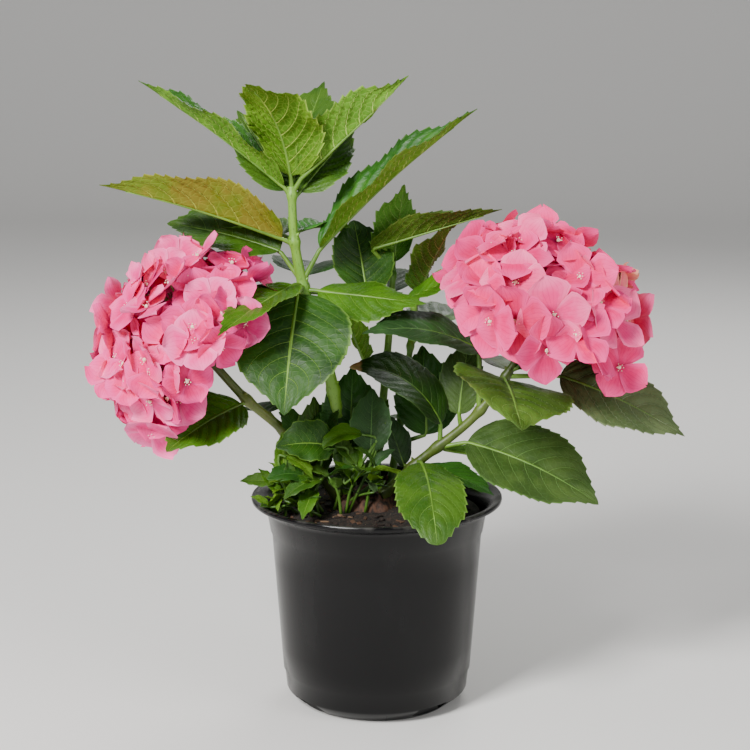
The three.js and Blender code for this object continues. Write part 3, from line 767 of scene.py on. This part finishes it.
def spun(section, steps):
    """A solid spun round the pot's axis from its section, given as (radius, height) in metres."""
    bm = bmesh.new()
    verts = [bm.verts.new((r, 0, z)) for r, z in section]
    edges = [bm.edges.new(pair) for pair in zip(verts, verts[1:])]
    bmesh.ops.spin(bm, geom=verts + edges, axis=UP, cent=(0, 0, 0), angle=2 * math.pi, steps=steps,
                   use_merge=True)
    bmesh.ops.remove_doubles(bm, verts=bm.verts, dist=MERGE)
    bmesh.ops.recalc_face_normals(bm, faces=bm.faces)
    smooth_faces(bm)
    return bm


def smooth_faces(bm):
    """Shades every face smooth."""
    for face in bm.faces:
        face.smooth = True


def map_cells(count):
    """The corner and side of each of that many equal squares of a map, row by row."""
    side = math.ceil(math.sqrt(count))
    for k in range(count):
        yield (k % side) / side, (k // side) / side, 1 / side


class Blade:
    """One leaf blade: where a point across and along it lies, with its teeth, puffing and waves."""

    STEPS = 48

    def __init__(self, base, heading, long, wide, start, end, roll, fold, tip, seed, relief):
        self.long = long * MM
        self.half = wide / 2 * MM
        self.tip = tip
        self.fold = math.radians(fold)
        self.teeth = max(5, round(long / BLADE["tooth_run"]))
        self.size = min(1.0, wide / 40) * relief
        rng = random.Random(seed)
        self.wave_at = rng.uniform(0, FULL_TURN)
        self.wave_run = rng.uniform(6, 9)
        peak = BLADE["base_fill"] / (BLADE["base_fill"] + tip)
        self.peak = peak ** BLADE["base_fill"] * (1 - peak) ** tip
        self.frames = []
        here = base.copy()
        for k in range(self.STEPS + 1):
            pitch = start + (end - start) * k / self.STEPS
            ahead = direction(heading, pitch)
            flat = UP.cross(ahead)
            flat = flat.normalized() if flat.length > 1e-4 else direction(heading + 90, 0)
            across = Matrix.Rotation(math.radians(roll), 3, ahead) @ flat
            self.frames.append((here.copy(), across, ahead.cross(across)))
            middle = pitch + (end - start) / self.STEPS / 2
            here = here + direction(heading, middle) * (self.long / self.STEPS)

    def frame(self, s):
        """The middle line's point at s, and the ways across and above the blade there."""
        f = clamp(s) * self.STEPS
        i = min(int(f), self.STEPS - 1)
        a, b = self.frames[i], self.frames[i + 1]
        return tuple(x.lerp(y, f - i) for x, y in zip(a, b))

    def width(self, s):
        """Half the blade's width at s: full near its base, drawn out to its tip."""
        s = clamp(s, 0.0005, 0.9995)
        shape = s ** BLADE["base_fill"] * (1 - s) ** self.tip / self.peak
        shape *= 1 - BLADE["drawn"] * smooth(0.70, 1.0, s)
        least = BLADE["foot"] / 2 * (1 - s) + BLADE["end"] / 2 * s
        return max(self.half * shape, least * MM * self.size)

    def tooth(self, s, out):
        """How far the teeth push the margin out, and forward, at s."""
        at = (s * self.teeth) % 1.0
        size = MM * self.size * smooth(0.02, 0.1, s) * smooth(1.0, 0.95, s)
        wider = (at ** 1.4 - 0.45) * BLADE["tooth"] * size * smooth(0.72, 1.0, out)
        return wider, at * BLADE["hook"] * size * smooth(0.8, 1.0, out)

    def lift(self, v, s, width):
        """How far the blade rises: puffed between veins, grooved along its middle, waved at its edge."""
        out = abs(v)
        left = v < 0
        bowed = BLADE["sweep"] * out ** BLADE["bow"]
        phase = ((s - bowed) * BLADE["veins"] + (BLADE["stagger"] if left else 0.0)) % 1.0
        fade = smooth(1.0, 0.82, out) * smooth(0.0, 0.05, s) * smooth(1.0, 0.93, s)
        puff = (math.sin(math.pi * phase) ** 0.7 - 0.5) * BLADE["puff"] * fade * smooth(0.0, 0.2, out)
        groove = BLADE["groove"] * math.exp(-((v / BLADE["groove_half"]) ** 2)) * smooth(1.0, 0.7, s)
        wave = math.sin(s * self.wave_run * 2 + self.wave_at + (BLADE["wave_shift"] if left else 0))
        wave *= BLADE["wave"] * out ** 2.2 * smooth(0.0, 0.15, s) * smooth(1.0, 0.8, s)
        return (puff * (0.2 + 0.8 * clamp(width / self.half)) - groove + wave) * MM * self.size

    def point(self, v, s, level):
        """v across from -1 to 1, s along, level -1 on the under side and 1 on the upper side."""
        here, across, above = self.frame(s)
        out = abs(v)
        wider, forward = self.tooth(s, out)
        width = self.width(s) + wider
        thick = BLADE["thick"] / 2 * MM * level * (1 - out ** 6)
        side = across * (v * width * math.cos(self.fold)) + above * (out * width * math.sin(self.fold))
        run = (self.frame(min(s + 0.01, 1))[0] - self.frame(max(s - 0.01, 0))[0]).normalized()
        return here + side + above * (self.lift(v, s, width) + thick) + run * forward

    def build(self, bm, rows, columns, upper, under, slots=(0, 1)):
        """Both sides of the blade, each with its own part of the bake map, joined at the margin."""
        verts = []
        for level, spot, slot in ((1, upper, slots[0]), (-1, under, slots[1])):
            verts += patch(
                bm, columns, rows, lambda u, v, level=level: self.point(u * 2 - 1, v, level),
                {"Blade": same, "OFBake": spot}, slot, level < 0, True)
        bmesh.ops.remove_doubles(bm, verts=verts, dist=MERGE)


def stem_point(stem, height):
    """Where the stem's middle line is at that height."""
    curve = CURVES[stem]
    return curve.at(curve.u_at_height(height))


def build_leaf(context, name, relief, seed):
    """One large leaf: its blade, and its stalk that runs on under the blade as the midrib."""
    spec = dict(zip(LEAF_KEYS, LEAVES[name]))
    root = stem_point(spec["stem"], spec["at"])
    base = root + direction(spec["aim"], spec["rise"]) * (spec["stalk"] * MM)
    shape = [spec[key] for key in ("heading", "long", "wide", "start", "end", "roll", "fold", "tip")]
    blade = Blade(base, *shape, seed, relief * RELIEF.get(spec["finish"], 1.0))
    bm = new_mesh()
    blade.build(bm, BLADE["rows"], BLADE["columns"], area(EDGE, STRIP + EDGE, 0.5 - EDGE, 1 - EDGE),
                area(0.5 + EDGE, STRIP + EDGE, 1 - EDGE, 1 - EDGE))
    bare = STALK["bare"]

    def centre(t):
        if t < bare:
            return root.lerp(base, t / bare)
        s = (t - bare) / (1 - bare) * STALK["reach"]
        here, _, above = blade.frame(s)
        low = STALK["under"]
        return here - above * ((low + (1 - low) * smooth(0.0, 0.2, s)) * BLADE["groove"] * MM)

    def radius(t):
        if t < bare:
            return (STALK["foot"] + (STALK["neck"] - STALK["foot"]) * (t / bare)) * MM
        k = (t - bare) / (1 - bare)
        return (STALK["neck"] + (STALK["end"] - STALK["neck"]) * k ** 0.8) * MM

    tube(bm, STALK["sides"], STALK["rows"], centre, radius, area(EDGE, EDGE, 1 - EDGE, STRIP), 2)
    return piece(context, name, bm, leaf_materials(spec["finish"]), [name])


# ---------------------------------------------------------------- settings and operators

class HydrangeaSettings(bpy.types.PropertyGroup):
    """What can be altered before the plant is built."""

    seed: IntProperty(
        name="Seed", description="Starts every random choice", default=11, min=0)
    relief: FloatProperty(
        name="Leaf relief", description="Puffing of the leaves between their veins",
        default=1.0, min=0.0, max=2.0)
    fullness: FloatProperty(
        name="Fullness", description="Share of each head's florets that is made",
        default=1.0, min=0.2, max=2.0)
    cup: FloatProperty(
        name="Sepal cup", description="How far the sepals' edges rise from flat",
        default=4.4, min=0.0, max=8.0)
    chips: IntProperty(
        name="Bark chips", description="Chips of bark lying on the soil", default=260, min=0)


class HYDRANGEA_OT_camera(bpy.types.Operator):
    """Sets the camera in front of the plant"""

    bl_idname = "hydrangea.camera"
    bl_label = "Camera"

    def execute(self, context):
        data = bpy.data.cameras.new("camera")
        data.lens = CAMERA["lens"]
        obj = bpy.data.objects.new("camera", data)
        obj.location = Vector((CAMERA["side"], -CAMERA["distance"], CAMERA["height"])) * MM
        obj.rotation_euler = (math.radians(90 - CAMERA["down"]), 0, 0)
        context.collection.objects.link(obj)
        context.scene.camera = obj
        return {"FINISHED"}


def wall_radius(z):
    """The pot's outer radius at that height: a straight slope that steps out twice."""
    p = POT
    run = (p["body_top"] - p["body_foot"] - p["step_out"]) / (p["high_step"] - p["foot_height"])
    steps = (z > p["low_step"]) + (z > p["high_step"])
    return p["body_foot"] + run * (z - p["foot_height"]) + p["step_out"] * steps


def step_corners(z):
    """The corners just below and just above the step at that height."""
    rise, ease = POT["step_rise"], POT["step_ease"]
    return [(wall_radius(z) - ease, z - rise), (wall_radius(z + ease), z + rise)]


def pot_profile():
    """Radius and height of the pot's section, from the middle of its underside round to its inside."""
    outer = FOOT_OUTSIDE + step_corners(POT["low_step"])
    outer += [(wall_radius(z), z) for z in POT["rings"]]
    outer += step_corners(POT["high_step"]) + LIP_OUTSIDE
    inner = LIP_INSIDE + [(wall_radius(z) - POT["wall"], z) for z in POT["inner_rings"]]
    return outer + inner + FLOOR_INSIDE


class HYDRANGEA_OT_pot(bpy.types.Operator):
    """Spins the nursery pot and cuts the notches in its foot"""

    bl_idname = "hydrangea.pot"
    bl_label = "Pot"

    def execute(self, context):
        bm = spun([(r * MM, z * MM) for r, z in pot_profile()], POT["sides"])
        obj = piece(context, "nursery_pot", bm, [pot_plastic()], ["pot"])
        cutter = self.cutter(context)
        notch = obj.modifiers.new("notches", "BOOLEAN")
        notch.object = cutter
        notch.solver = "EXACT"
        context.view_layer.update()
        graph = context.evaluated_depsgraph_get()
        cut_mesh = bpy.data.meshes.new_from_object(obj.evaluated_get(graph))
        obj.modifiers.clear()
        obj.data = cut_mesh
        bpy.data.objects.remove(cutter)
        smooth_by_angle(obj, POT["crisp"])
        return {"FINISHED"}

    def cutter(self, context):
        """The blocks that cut the notches, as one object."""
        bm = bmesh.new()
        size = (NOTCH["long"] * MM, NOTCH["wide"] * MM, NOTCH["deep"] * 2 * MM, 1)
        shift = Matrix.Translation((NOTCH["radius"] * MM, 0, 0))
        for k in range(NOTCH["count"]):
            heading = NOTCH["heading"] + 360 / NOTCH["count"] * k
            turn = Matrix.Rotation(math.radians(heading), 4, "Z")
            bmesh.ops.create_cube(bm, size=1, matrix=turn @ shift @ Matrix.Diagonal(size))
        return new_object(context, "notches", bm)


def smooth_by_angle(obj, degrees):
    """Edges bent by more than the angle stay crisp; the rest shade smooth."""
    bm = bmesh.new()
    bm.from_mesh(obj.data)
    smooth_faces(bm)
    for edge in bm.edges:
        edge.smooth = not (len(edge.link_faces) == 2 and edge.calc_face_angle(0) > math.radians(degrees))
    bm.to_mesh(obj.data)
    bm.free()


class HYDRANGEA_OT_soil(bpy.types.Operator):
    """Fills the pot with crumbly soil and scatters bark chips over it"""

    bl_idname = "hydrangea.soil"
    bl_label = "Soil"

    def execute(self, context):
        rings = SOIL["rings"]
        radius = SOIL["radius"] * MM
        depth = SOIL["depth"] * MM
        section = [(radius * k / rings, 0) for k in range(rings + 1)]
        bm = spun(section + [(radius, -depth), (0, -depth)], SOIL["sides"])
        for vert in bm.verts:
            if vert.co.z > -depth / 2:
                vert.co.z = soil_height(vert.co.x, vert.co.y)
            else:
                vert.co.z += SOIL["level"] * MM
        piece(context, "potting_soil", bm, [potting_mix()], ["soil"])
        settings = context.scene.hydrangea
        self.chips(context, settings.chips, random.Random(settings.seed))
        return {"FINISHED"}

    def chips(self, context, count, rng):
        """That many bevelled chips of bark, spread evenly over the soil."""
        bm = bmesh.new()
        bag = [k for k, look in enumerate(CHIP_LOOKS) for _ in range(look[2])]
        for _ in range(count):
            r = CHIP["reach"] * math.sqrt(rng.random()) * MM
            a = rng.uniform(0, 2 * math.pi)
            where = Vector((r * math.cos(a), r * math.sin(a), 0))
            where.z = soil_height(where.x, where.y) + CHIP["lift"] * MM
            size = [rng.uniform(*CHIP[key]) * MM for key in ("long", "wide", "thick")]
            turn = Matrix.Rotation(rng.uniform(0, FULL_TURN), 4, "Z")
            turn @= Matrix.Rotation(either_way(rng, CHIP["tilt"]), 4, "X")
            place = Matrix.Translation(where) @ turn @ Matrix.Diagonal((*size, 1))
            made = bmesh.ops.create_cube(bm, size=1, matrix=place)["verts"]
            slot = rng.choice(bag)
            for face in {f for v in made for f in v.link_faces}:
                face.material_index = slot
        bmesh.ops.bevel(bm, geom=list(bm.edges), offset=CHIP["bevel"] * MM, segments=1, profile=0.5,
                        affect="EDGES", material=-1)
        looks = [plain(name, colour, CHIP["roughness"]) for name, colour, _ in CHIP_LOOKS]
        piece(context, "bark_chips", bm, looks, ["soil"])


def soil_height(x, y):
    """Height of the soil's surface, higher in the middle, with lumps and crumbs."""
    r = math.hypot(x, y) / (SOIL["radius"] * MM)
    rough = 0.0
    for level, (scale, height) in enumerate((SOIL["lumps"], SOIL["crumbs"])):
        rough += noise.noise(Vector((x * scale, y * scale, level * 3))) * height
    return (SOIL["level"] + SOIL["mound"] * (1 - r * r) + rough * smooth(1.0, 0.9, r)) * MM


class HYDRANGEA_OT_crown(bpy.types.Operator):
    """Models the woody crown with its old cut stubs"""

    bl_idname = "hydrangea.crown"
    bl_label = "Woody crown"

    def execute(self, context):
        bm = new_mesh(("Blade",))
        centre = Vector(CROWN["centre"]) * MM
        size = Matrix.Diagonal((*(Vector(CROWN["radius"]) * MM), 1))
        made = bmesh.ops.create_icosphere(
            bm, subdivisions=5, radius=1, matrix=Matrix.Translation(centre) @ size)
        (wide_run, tall_run), ridge = CROWN["ridges"]
        knob_run, knob = CROWN["knobs"]
        for vert in made["verts"]:
            out = vert.co - centre
            share = CROWN["body"]
            share += noise.noise(Vector((out.x * wide_run, out.y * wide_run, out.z * tall_run))) * ridge
            share += noise.noise(out * knob_run) * knob
            vert.co = centre + out * share
        self.stubs(bm, centre, random.Random(context.scene.hydrangea.seed + 1))
        smooth_faces(bm)
        bark = crown_bark("old hydrangea bark, flaky", "#1e120b", "#5e3c28")
        piece(context, "woody_crown_bark", bm, [bark], ["woody_crown"])
        return {"FINISHED"}

    def stubs(self, bm, centre, rng):
        """Stubs of old cut stems in a ring on the crown, each with its own lean."""
        x, y, z = STUBS["ring"]
        for _ in range(STUBS["count"]):
            a = rng.uniform(0, 2 * math.pi)
            lean = rng.uniform(*STUBS["lean"])
            foot = centre + Vector((math.cos(a) * x, math.sin(a) * y, z)) * MM
            along = Vector((math.cos(a) * lean, math.sin(a) * lean, 1)).normalized()
            top = foot + along * (rng.uniform(*STUBS["long"]) * MM)
            thick = rng.uniform(*STUBS["thick"])
            tube(bm, STUBS["sides"], STUBS["rows"], line(foot, top),
                 taper(thick, thick * STUBS["taper"]))


def stem_radius(name, t):
    """Radius along a stem, swollen at its nodes and at its foot."""
    foot, tip, _ = STEMS[name]
    z = CURVES[name].at(t).z / MM
    r = foot + (tip - foot) * t + STEM["flare"] * smooth(STEM["flare_run"], 0.0, t)
    for at in NODES[name]:
        r += STEM["swell"] * math.exp(-(((z - at) / STEM["swell_half"]) ** 2))
    return r * MM


class HYDRANGEA_OT_stems(bpy.types.Operator):
    """Sweeps the stems, with their swollen nodes, from the crown to their tips"""

    bl_idname = "hydrangea.stems"
    bl_label = "Stems"

    def execute(self, context):
        for name, looks in STEM_LOOKS.items():
            bm = new_mesh(("Blade",))
            tube(bm, STEM["sides"], STEM["rows"], CURVES[name].at,
                 lambda t, name=name: stem_radius(name, t))
            self.buds(bm, name)
            skin = stem_skin(f"green stem skin, {name}", *looks)
            piece(context, f"{name}_skin", bm, [skin], [name])
        return {"FINISHED"}

    def buds(self, bm, name):
        """A pair of small buds, one on each side of the stem, just above each of its nodes."""
        curve = CURVES[name]
        rng = random.Random(name)
        for at in NODES[name]:
            u = curve.u_at_height(at + BUD["above"])
            for side in (0, 180):
                heading = either_way(rng, BUD["spread"]) + side + BUD["turn"]
                out = direction(heading, BUD["pitch"])
                here = curve.at(u) + out * stem_radius(name, u) * BUD["sunk"]
                tip = here + out * (BUD["long"] * MM)
                tube(bm, BUD["sides"], BUD["rows"], line(here, tip), self.bud_radius)

    @staticmethod
    def bud_radius(t):
        """A bud's radius: fullest below its middle, small at its tip."""
        start, run = BUD["arc"]
        return BUD["thick"] * math.sin(math.pi * (start + run * t)) * MM


class HYDRANGEA_OT_leaves(bpy.types.Operator):
    """Builds every large leaf with its stalk, teeth and puffed veins"""

    bl_idname = "hydrangea.leaves"
    bl_label = "Leaves"

    def execute(self, context):
        settings = context.scene.hydrangea
        for k, name in enumerate(LEAVES):
            build_leaf(context, name, settings.relief, settings.seed * 100 + k)
        return {"FINISHED"}


class HYDRANGEA_OT_sprouts(bpy.types.Operator):
    """Grows the young shoots round the foot of the plant"""

    bl_idname = "hydrangea.sprouts"
    bl_label = "Sprouts"

    def execute(self, context):
        for index, (name, tuft) in enumerate(TUFTS.items()):
            rng = random.Random(context.scene.hydrangea.seed * 7 + index)
            stalks = new_mesh(("Blade",))
            foot = Vector(tuft["foot"]) * MM
            leaves = self.set_leaves(stalks, foot, SPROUT_LEAVES[name], rng)
            leaves += self.grown_leaves(stalks, foot, tuft, rng)
            self.leaves(context, name, leaves)
            skin = stem_skin(f"young shoot skin, {name}", "#3c6214", "#54782a", "#30501a")
            piece(context, f"{name}_stalks", stalks, [skin], [name])
        return {"FINISHED"}

    def set_leaves(self, stalks, foot, places, rng):
        """The larger leaves in their own places; each but the first branches from the shoot before."""
        leaves = []
        path = None
        scale = SHOOT["leaf_scale"]
        for at, heading, long, wide, start, end, roll, look in places:
            base = Vector(at) * MM
            shape = (base, heading, long * scale, wide * scale, start, end, roll)
            leaves.append((*shape, look, rng.random()))
            root = foot.lerp(base, rng.uniform(*SHOOT["lean"]))
            root += Vector((rng.uniform(*SHOOT["foot_x"]), rng.uniform(*SHOOT["foot_y"]), 0)) * MM
            root.z = foot.z
            if path is not None:
                root = path.at(SHOOT["branch"])
            steepness = min(start, SHOOT["steepest"])
            back = direction(heading, steepness) * (SHOOT["turn_in"] * (base - root).length)
            path = self.shoot(stalks, root, base - back, base)
        return leaves

    def grown_leaves(self, stalks, foot, tuft, rng):
        """Small leaves in crossed pairs, on shoots that rise by turns high and low into the tuft."""
        leaves = []
        centre = Vector(tuft["centre"]) * MM
        size = Vector(tuft["size"]) * MM
        for k in range(tuft["shoots"]):
            root = foot + Vector((rng.uniform(*GROWN["foot_x"]), rng.uniform(*GROWN["foot_y"]), 0)) * MM
            a = rng.uniform(0, 2 * math.pi)
            spread = rng.uniform(*GROWN["spread"])
            level = rng.uniform(*GROWN["low" if k % 2 else "high"])
            across = (size.x * math.cos(a) * spread, size.y * math.sin(a) * spread)
            top = centre + Vector((*across, size.z * level))
            bend = (root + top) / 2 + (root - centre) * GROWN["outward"] + UP * (GROWN["arch"] * MM)
            path = self.shoot(stalks, root, bend, top)
            turn = rng.uniform(0, 180)
            for pair, at in enumerate(GROWN["pairs"]):
                for side in (0, 180):
                    long = rng.uniform(*GROWN["long"])
                    start = rng.uniform(*GROWN["start"])
                    heading = turn + pair * 90 + side + either_way(rng, GROWN["sway"])
                    wide = long * rng.uniform(*GROWN["slim"])
                    roll = either_way(rng, GROWN["roll"])
                    look = rng.choice(tuft["finishes"])
                    end = start - GROWN["droop"]
                    shape = (path.at(at), heading, long, wide, start, end, roll)
                    leaves.append((*shape, look, rng.random()))
        return leaves

    def shoot(self, bm, root, bend, top):
        """One young stem from root by way of bend to top."""
        path = Curve([root / MM, bend / MM, top / MM])
        tube(bm, SHOOT["sides"], SHOOT["rows"], path.at, taper(*SHOOT["radius"]))
        return path

    def leaves(self, context, name, leaves):
        """The blades of a tuft as one piece, each with its own places in the bake map."""
        bm = new_mesh()
        looks = sorted({look for *_, look, _ in leaves})
        materials = []
        for look in looks:
            materials += leaf_materials(look)[:2]
        for leaf, (x, y, step) in zip(leaves, map_cells(len(leaves))):
            *shape, look, seed = leaf
            blade = Blade(*shape, SHOOT["fold"], SHOOT["tip"], seed, SHOOT["relief"])
            slot = looks.index(look) * 2
            pad = step * SHOOT["pad"]
            blade.build(bm, SHOOT["leaf_rows"], SHOOT["leaf_columns"],
                        area(x + pad, y + pad, x + step / 2 - pad, y + step - pad),
                        area(x + step / 2 + pad, y + pad, x + step - pad, y + step - pad),
                        (slot, slot + 1))
        piece(context, f"{name}_leaves", bm, materials, [name])


def dome_point(head, polar, around, scale):
    """A point on a flower head's dome and the way it faces there."""
    axis = Vector(head["faces"]).normalized()
    one = axis.orthogonal().normalized()
    two = axis.cross(one)
    ring = one * math.cos(around) + two * math.sin(around)
    rise = head["rise"] if math.cos(polar) >= 0 else head["depth"] * 3
    radius = head["radius"]
    where = ring * (math.sin(polar) * radius) + axis * (math.cos(polar) * rise)
    facing = (ring * (math.sin(polar) / radius) + axis * (math.cos(polar) / rise)).normalized()
    return (Vector(head["centre"]) + where * scale) * MM, facing


def sepal_form(b, point):
    """Share of a sepal's half width at b along it: broad shoulders, then a blunt point."""
    if b < SEPAL["shoulder"]:
        return (b / SEPAL["shoulder"]) ** SEPAL["side"]
    past = (b - SEPAL["shoulder"]) / (1 - SEPAL["shoulder"])
    return (1 - past ** 1.7) ** point


def sepal_place(centre, out, along, long, wide, point, cup, dip, twist, level):
    """Where the grid's (u, v) lies on a sepal that leaves centre along that way, facing out."""
    across = out.cross(along)
    across_run, twist_run = SEPAL["ruffle_runs"]

    def place(u, v):
        b = SEPAL["start"] + SEPAL["run"] * v
        a = u * 2 - 1
        half = wide / 2 * sepal_form(b, point)
        lift = cup * (b ** 1.5 + SEPAL["edge_cup"] * abs(a) ** 1.5 * b) - dip * b ** 4 + twist * a * b
        ruffle = math.sin(a * across_run + twist * twist_run) * SEPAL["ruffle"] * b * b
        skin = level * SEPAL["skin"] * (1 - abs(a) ** 4)
        return centre + (along * (long * b) + across * (a * half) + out * (lift + ruffle + skin)) * MM

    return place


class HYDRANGEA_OT_heads(bpy.types.Operator):
    """Covers each flower head with four-sepalled florets on their pedicels"""

    bl_idname = "hydrangea.heads"
    bl_label = "Flower heads"

    def execute(self, context):
        settings = context.scene.hydrangea
        for k, (name, head) in enumerate(HEADS.items()):
            self.head(context, name, head, settings, random.Random(settings.seed * 13 + k))
        return {"FINISHED"}

    def head(self, context, name, head, settings, rng):
        """One head: florets in a golden spiral over its dome, some sunk between the others."""
        sepals = new_mesh()
        eyes = bmesh.new()
        stalks = new_mesh(("Blade",))
        bag = [k for k, look in enumerate(SEPALS[name]) for _ in range(look[3])]
        hub = stem_point(head["stem"], STEMS[head["stem"]][2][-1][2])
        count = round(head["florets"] * settings.fullness)
        spots = map_cells(count * 4)
        golden = math.pi * (3 - math.sqrt(5))
        for k in range(count):
            polar = math.acos(1 - (k + 0.5) / count * head["cover"]) + either_way(rng, FLORET["polar"])
            around = k * golden + either_way(rng, FLORET["around"])
            sunk = head["fill"] + rng.uniform(*FLORET["depth"])
            if k % FLORET["every"] == 0:
                sunk -= FLORET["sunk"]
            centre, out = dome_point(head, polar, around, sunk)
            if (centre / MM - Vector(head["centre"])).dot(Vector(head["trim"])) > head["trim_at"]:
                continue
            tilt = Vector([either_way(rng, 1) for _ in range(3)]) * FLORET["tilt"]
            out = (out + tilt).normalized()
            turn = rng.uniform(0, FLORET["turn"])
            first = Matrix.Rotation(turn, 3, out) @ out.orthogonal().normalized()
            slot = rng.choice(bag)
            self.floret(sepals, head, settings.cup, (centre, out, first), slot, spots, rng)
            self.eye(eyes, centre, out, first, rng)
            self.pedicel(stalks, hub, centre, k % FLORET["every"] == 0)
        smooth_faces(eyes)
        self.pieces(context, name, sepals, eyes, stalks)

    def pieces(self, context, name, sepals, eyes, stalks):
        """The head's three pieces, with their materials."""
        looks = [
            sepal_side(f"hydrangea sepal, {name} {k}", *look[:3])
            for k, look in enumerate(SEPALS[name])
        ]
        piece(context, f"{name}_sepals", sepals, looks, [name])
        look = plain(f"floret eye, {name}", "#f3e3c8", 0.6)
        piece(context, f"{name}_eyes", eyes, [look], [name])
        look = stem_skin(f"pedicel skin, {name}", "#9aa860", "#c79a86", "#8a7a4c")
        piece(context, f"{name}_pedicels", stalks, [look], [name])

    def floret(self, bm, head, cup, stance, slot, spots, rng):
        """Four sepals round the floret's centre, two of them a little over the other two."""
        centre, out, first = stance
        size = head["floret"] * rng.uniform(*FLORET["size"])
        droop = rng.uniform(*FLORET["droop"])
        for s in range(4):
            along = Matrix.Rotation(math.pi / 2 * s + either_way(rng, SEPAL["turn"]), 3, out) @ first
            long = size * rng.uniform(*SEPAL["long"])
            wide = long * head["broad"] * rng.uniform(*SEPAL["wide"])
            rise = cup * rng.uniform(*SEPAL["cup"])
            twist = either_way(rng, SEPAL["twist"])
            foot = centre + out * (FLORET["over"] if s % 2 else 0.0) * MM
            x, y, step = next(spots)
            pad = step * FLORET["pad"]
            verts = []
            for level, at in ((1, x), (-1, x + step / 2)):
                place = sepal_place(
                    foot, out, along, long, wide, head["point"], rise, droop, twist, level)
                maps = {"Blade": same,
                        "OFBake": area(at + pad, y + pad, at + step / 2 - pad, y + step - pad)}
                verts += patch(bm, SEPAL["columns"], SEPAL["rows"], place, maps, slot, level > 0, True)
            bmesh.ops.remove_doubles(bm, verts=verts, dist=MERGE)

    def eye(self, bm, centre, out, first, rng):
        """The floret's round eye, with small anthers that stand out round it."""
        radius = EYE["radius"] * MM
        ball(bm, centre + out * radius, radius)
        for s in range(EYE["anthers"]):
            spoke = Matrix.Rotation(2 * math.pi / EYE["anthers"] * s, 3, out) @ first
            tip = centre + out * rng.uniform(*EYE["out"]) * MM + spoke * rng.uniform(*EYE["off"]) * MM
            ball(bm, tip, EYE["anther"] * MM)

    def pedicel(self, bm, hub, centre, branch):
        """The floret's own thin stalk, and the thicker branch that some of them share."""
        root = hub.lerp(centre, PEDICEL["branch"])
        tube(bm, *PEDICEL["thin_mesh"], line(root, centre), taper(*PEDICEL["thin"]))
        if branch:
            sag = UP * (PEDICEL["sag"] * MM)
            tube(bm, *PEDICEL["thick_mesh"], lambda t: hub.lerp(root, t) - sag * math.sin(math.pi * t),
                 taper(*PEDICEL["thick"]))


def sweep_floor(u, v):
    """A floor that curves up at the back into a wall, all in metres."""
    b = BACKDROP
    flat, bent = b["parts"]
    x = (u - 0.5) * b["wide"]
    if v < flat:
        return Vector((x, b["front"] + (b["back"] - b["front"]) * v / flat, 0))
    if v < bent:
        a = (v - flat) / (bent - flat) * math.pi / 2
        return Vector((x, b["back"] + b["bend"] * math.sin(a), b["bend"] * (1 - math.cos(a))))
    up = (v - bent) / (1 - bent)
    return Vector((x, b["back"] + b["bend"], b["bend"] + (b["top"] - b["bend"]) * up))


class HYDRANGEA_OT_stage(bpy.types.Operator):
    """Sets a pale floor and soft studio lights"""

    bl_idname = "hydrangea.stage"
    bl_label = "Stage"

    def execute(self, context):
        bm = bmesh.new()
        patch(bm, 1, BACKDROP["rows"], sweep_floor, {})
        look = plain("pale studio floor", "#e6e4e0", 0.8, 0.2)
        new_object(context, "floor", bm, [look])
        for name, where, size, power in LIGHTS:
            data = bpy.data.lights.new(name, "AREA")
            data.size = size
            data.energy = power
            lamp = bpy.data.objects.new(name, data)
            lamp.location = where
            lamp.rotation_euler = (Vector(LIT) - Vector(where)).to_track_quat("-Z", "Y").to_euler()
            context.collection.objects.link(lamp)
        world = bpy.data.worlds.new("studio")
        world.use_nodes = True
        sky = world.node_tree.nodes["Background"]
        sky.inputs["Color"].default_value = linear(WORLD[0])
        sky.inputs["Strength"].default_value = WORLD[1]
        context.scene.world = world
        return {"FINISHED"}


class HYDRANGEA_PT_panel(bpy.types.Panel):
    """The hydrangea's settings and build steps"""

    bl_idname = "HYDRANGEA_PT_panel"
    bl_label = "Hydrangea"
    bl_space_type = "VIEW_3D"
    bl_region_type = "UI"
    bl_category = "Hydrangea"

    def draw(self, context):
        for key in ("seed", "relief", "fullness", "cup", "chips"):
            self.layout.prop(context.scene.hydrangea, key)
        for step in BUILD_STEPS:
            self.layout.operator(step.bl_idname)


BUILD_STEPS = (
    HYDRANGEA_OT_camera, HYDRANGEA_OT_pot, HYDRANGEA_OT_soil, HYDRANGEA_OT_crown, HYDRANGEA_OT_stems,
    HYDRANGEA_OT_leaves, HYDRANGEA_OT_sprouts, HYDRANGEA_OT_heads, HYDRANGEA_OT_stage,
)
CLASSES = (HydrangeaSettings, *BUILD_STEPS, HYDRANGEA_PT_panel)


def register():
    """Makes Blender know the classes and the settings."""
    for cls in CLASSES:
        bpy.utils.register_class(cls)
    bpy.types.Scene.hydrangea = PointerProperty(type=HydrangeaSettings)


def unregister():
    """Takes the settings and the classes away again."""
    del bpy.types.Scene.hydrangea
    for cls in reversed(CLASSES):
        bpy.utils.unregister_class(cls)


def main():
    """Builds the plant step by step."""
    register()
    bpy.ops.hydrangea.camera()
    bpy.ops.hydrangea.pot()
    bpy.ops.hydrangea.soil()
    bpy.ops.hydrangea.crown()
    bpy.ops.hydrangea.stems()
    bpy.ops.hydrangea.leaves()
    bpy.ops.hydrangea.sprouts()
    bpy.ops.hydrangea.heads()
    bpy.ops.hydrangea.stage()


if __name__ == "__main__":
    main()
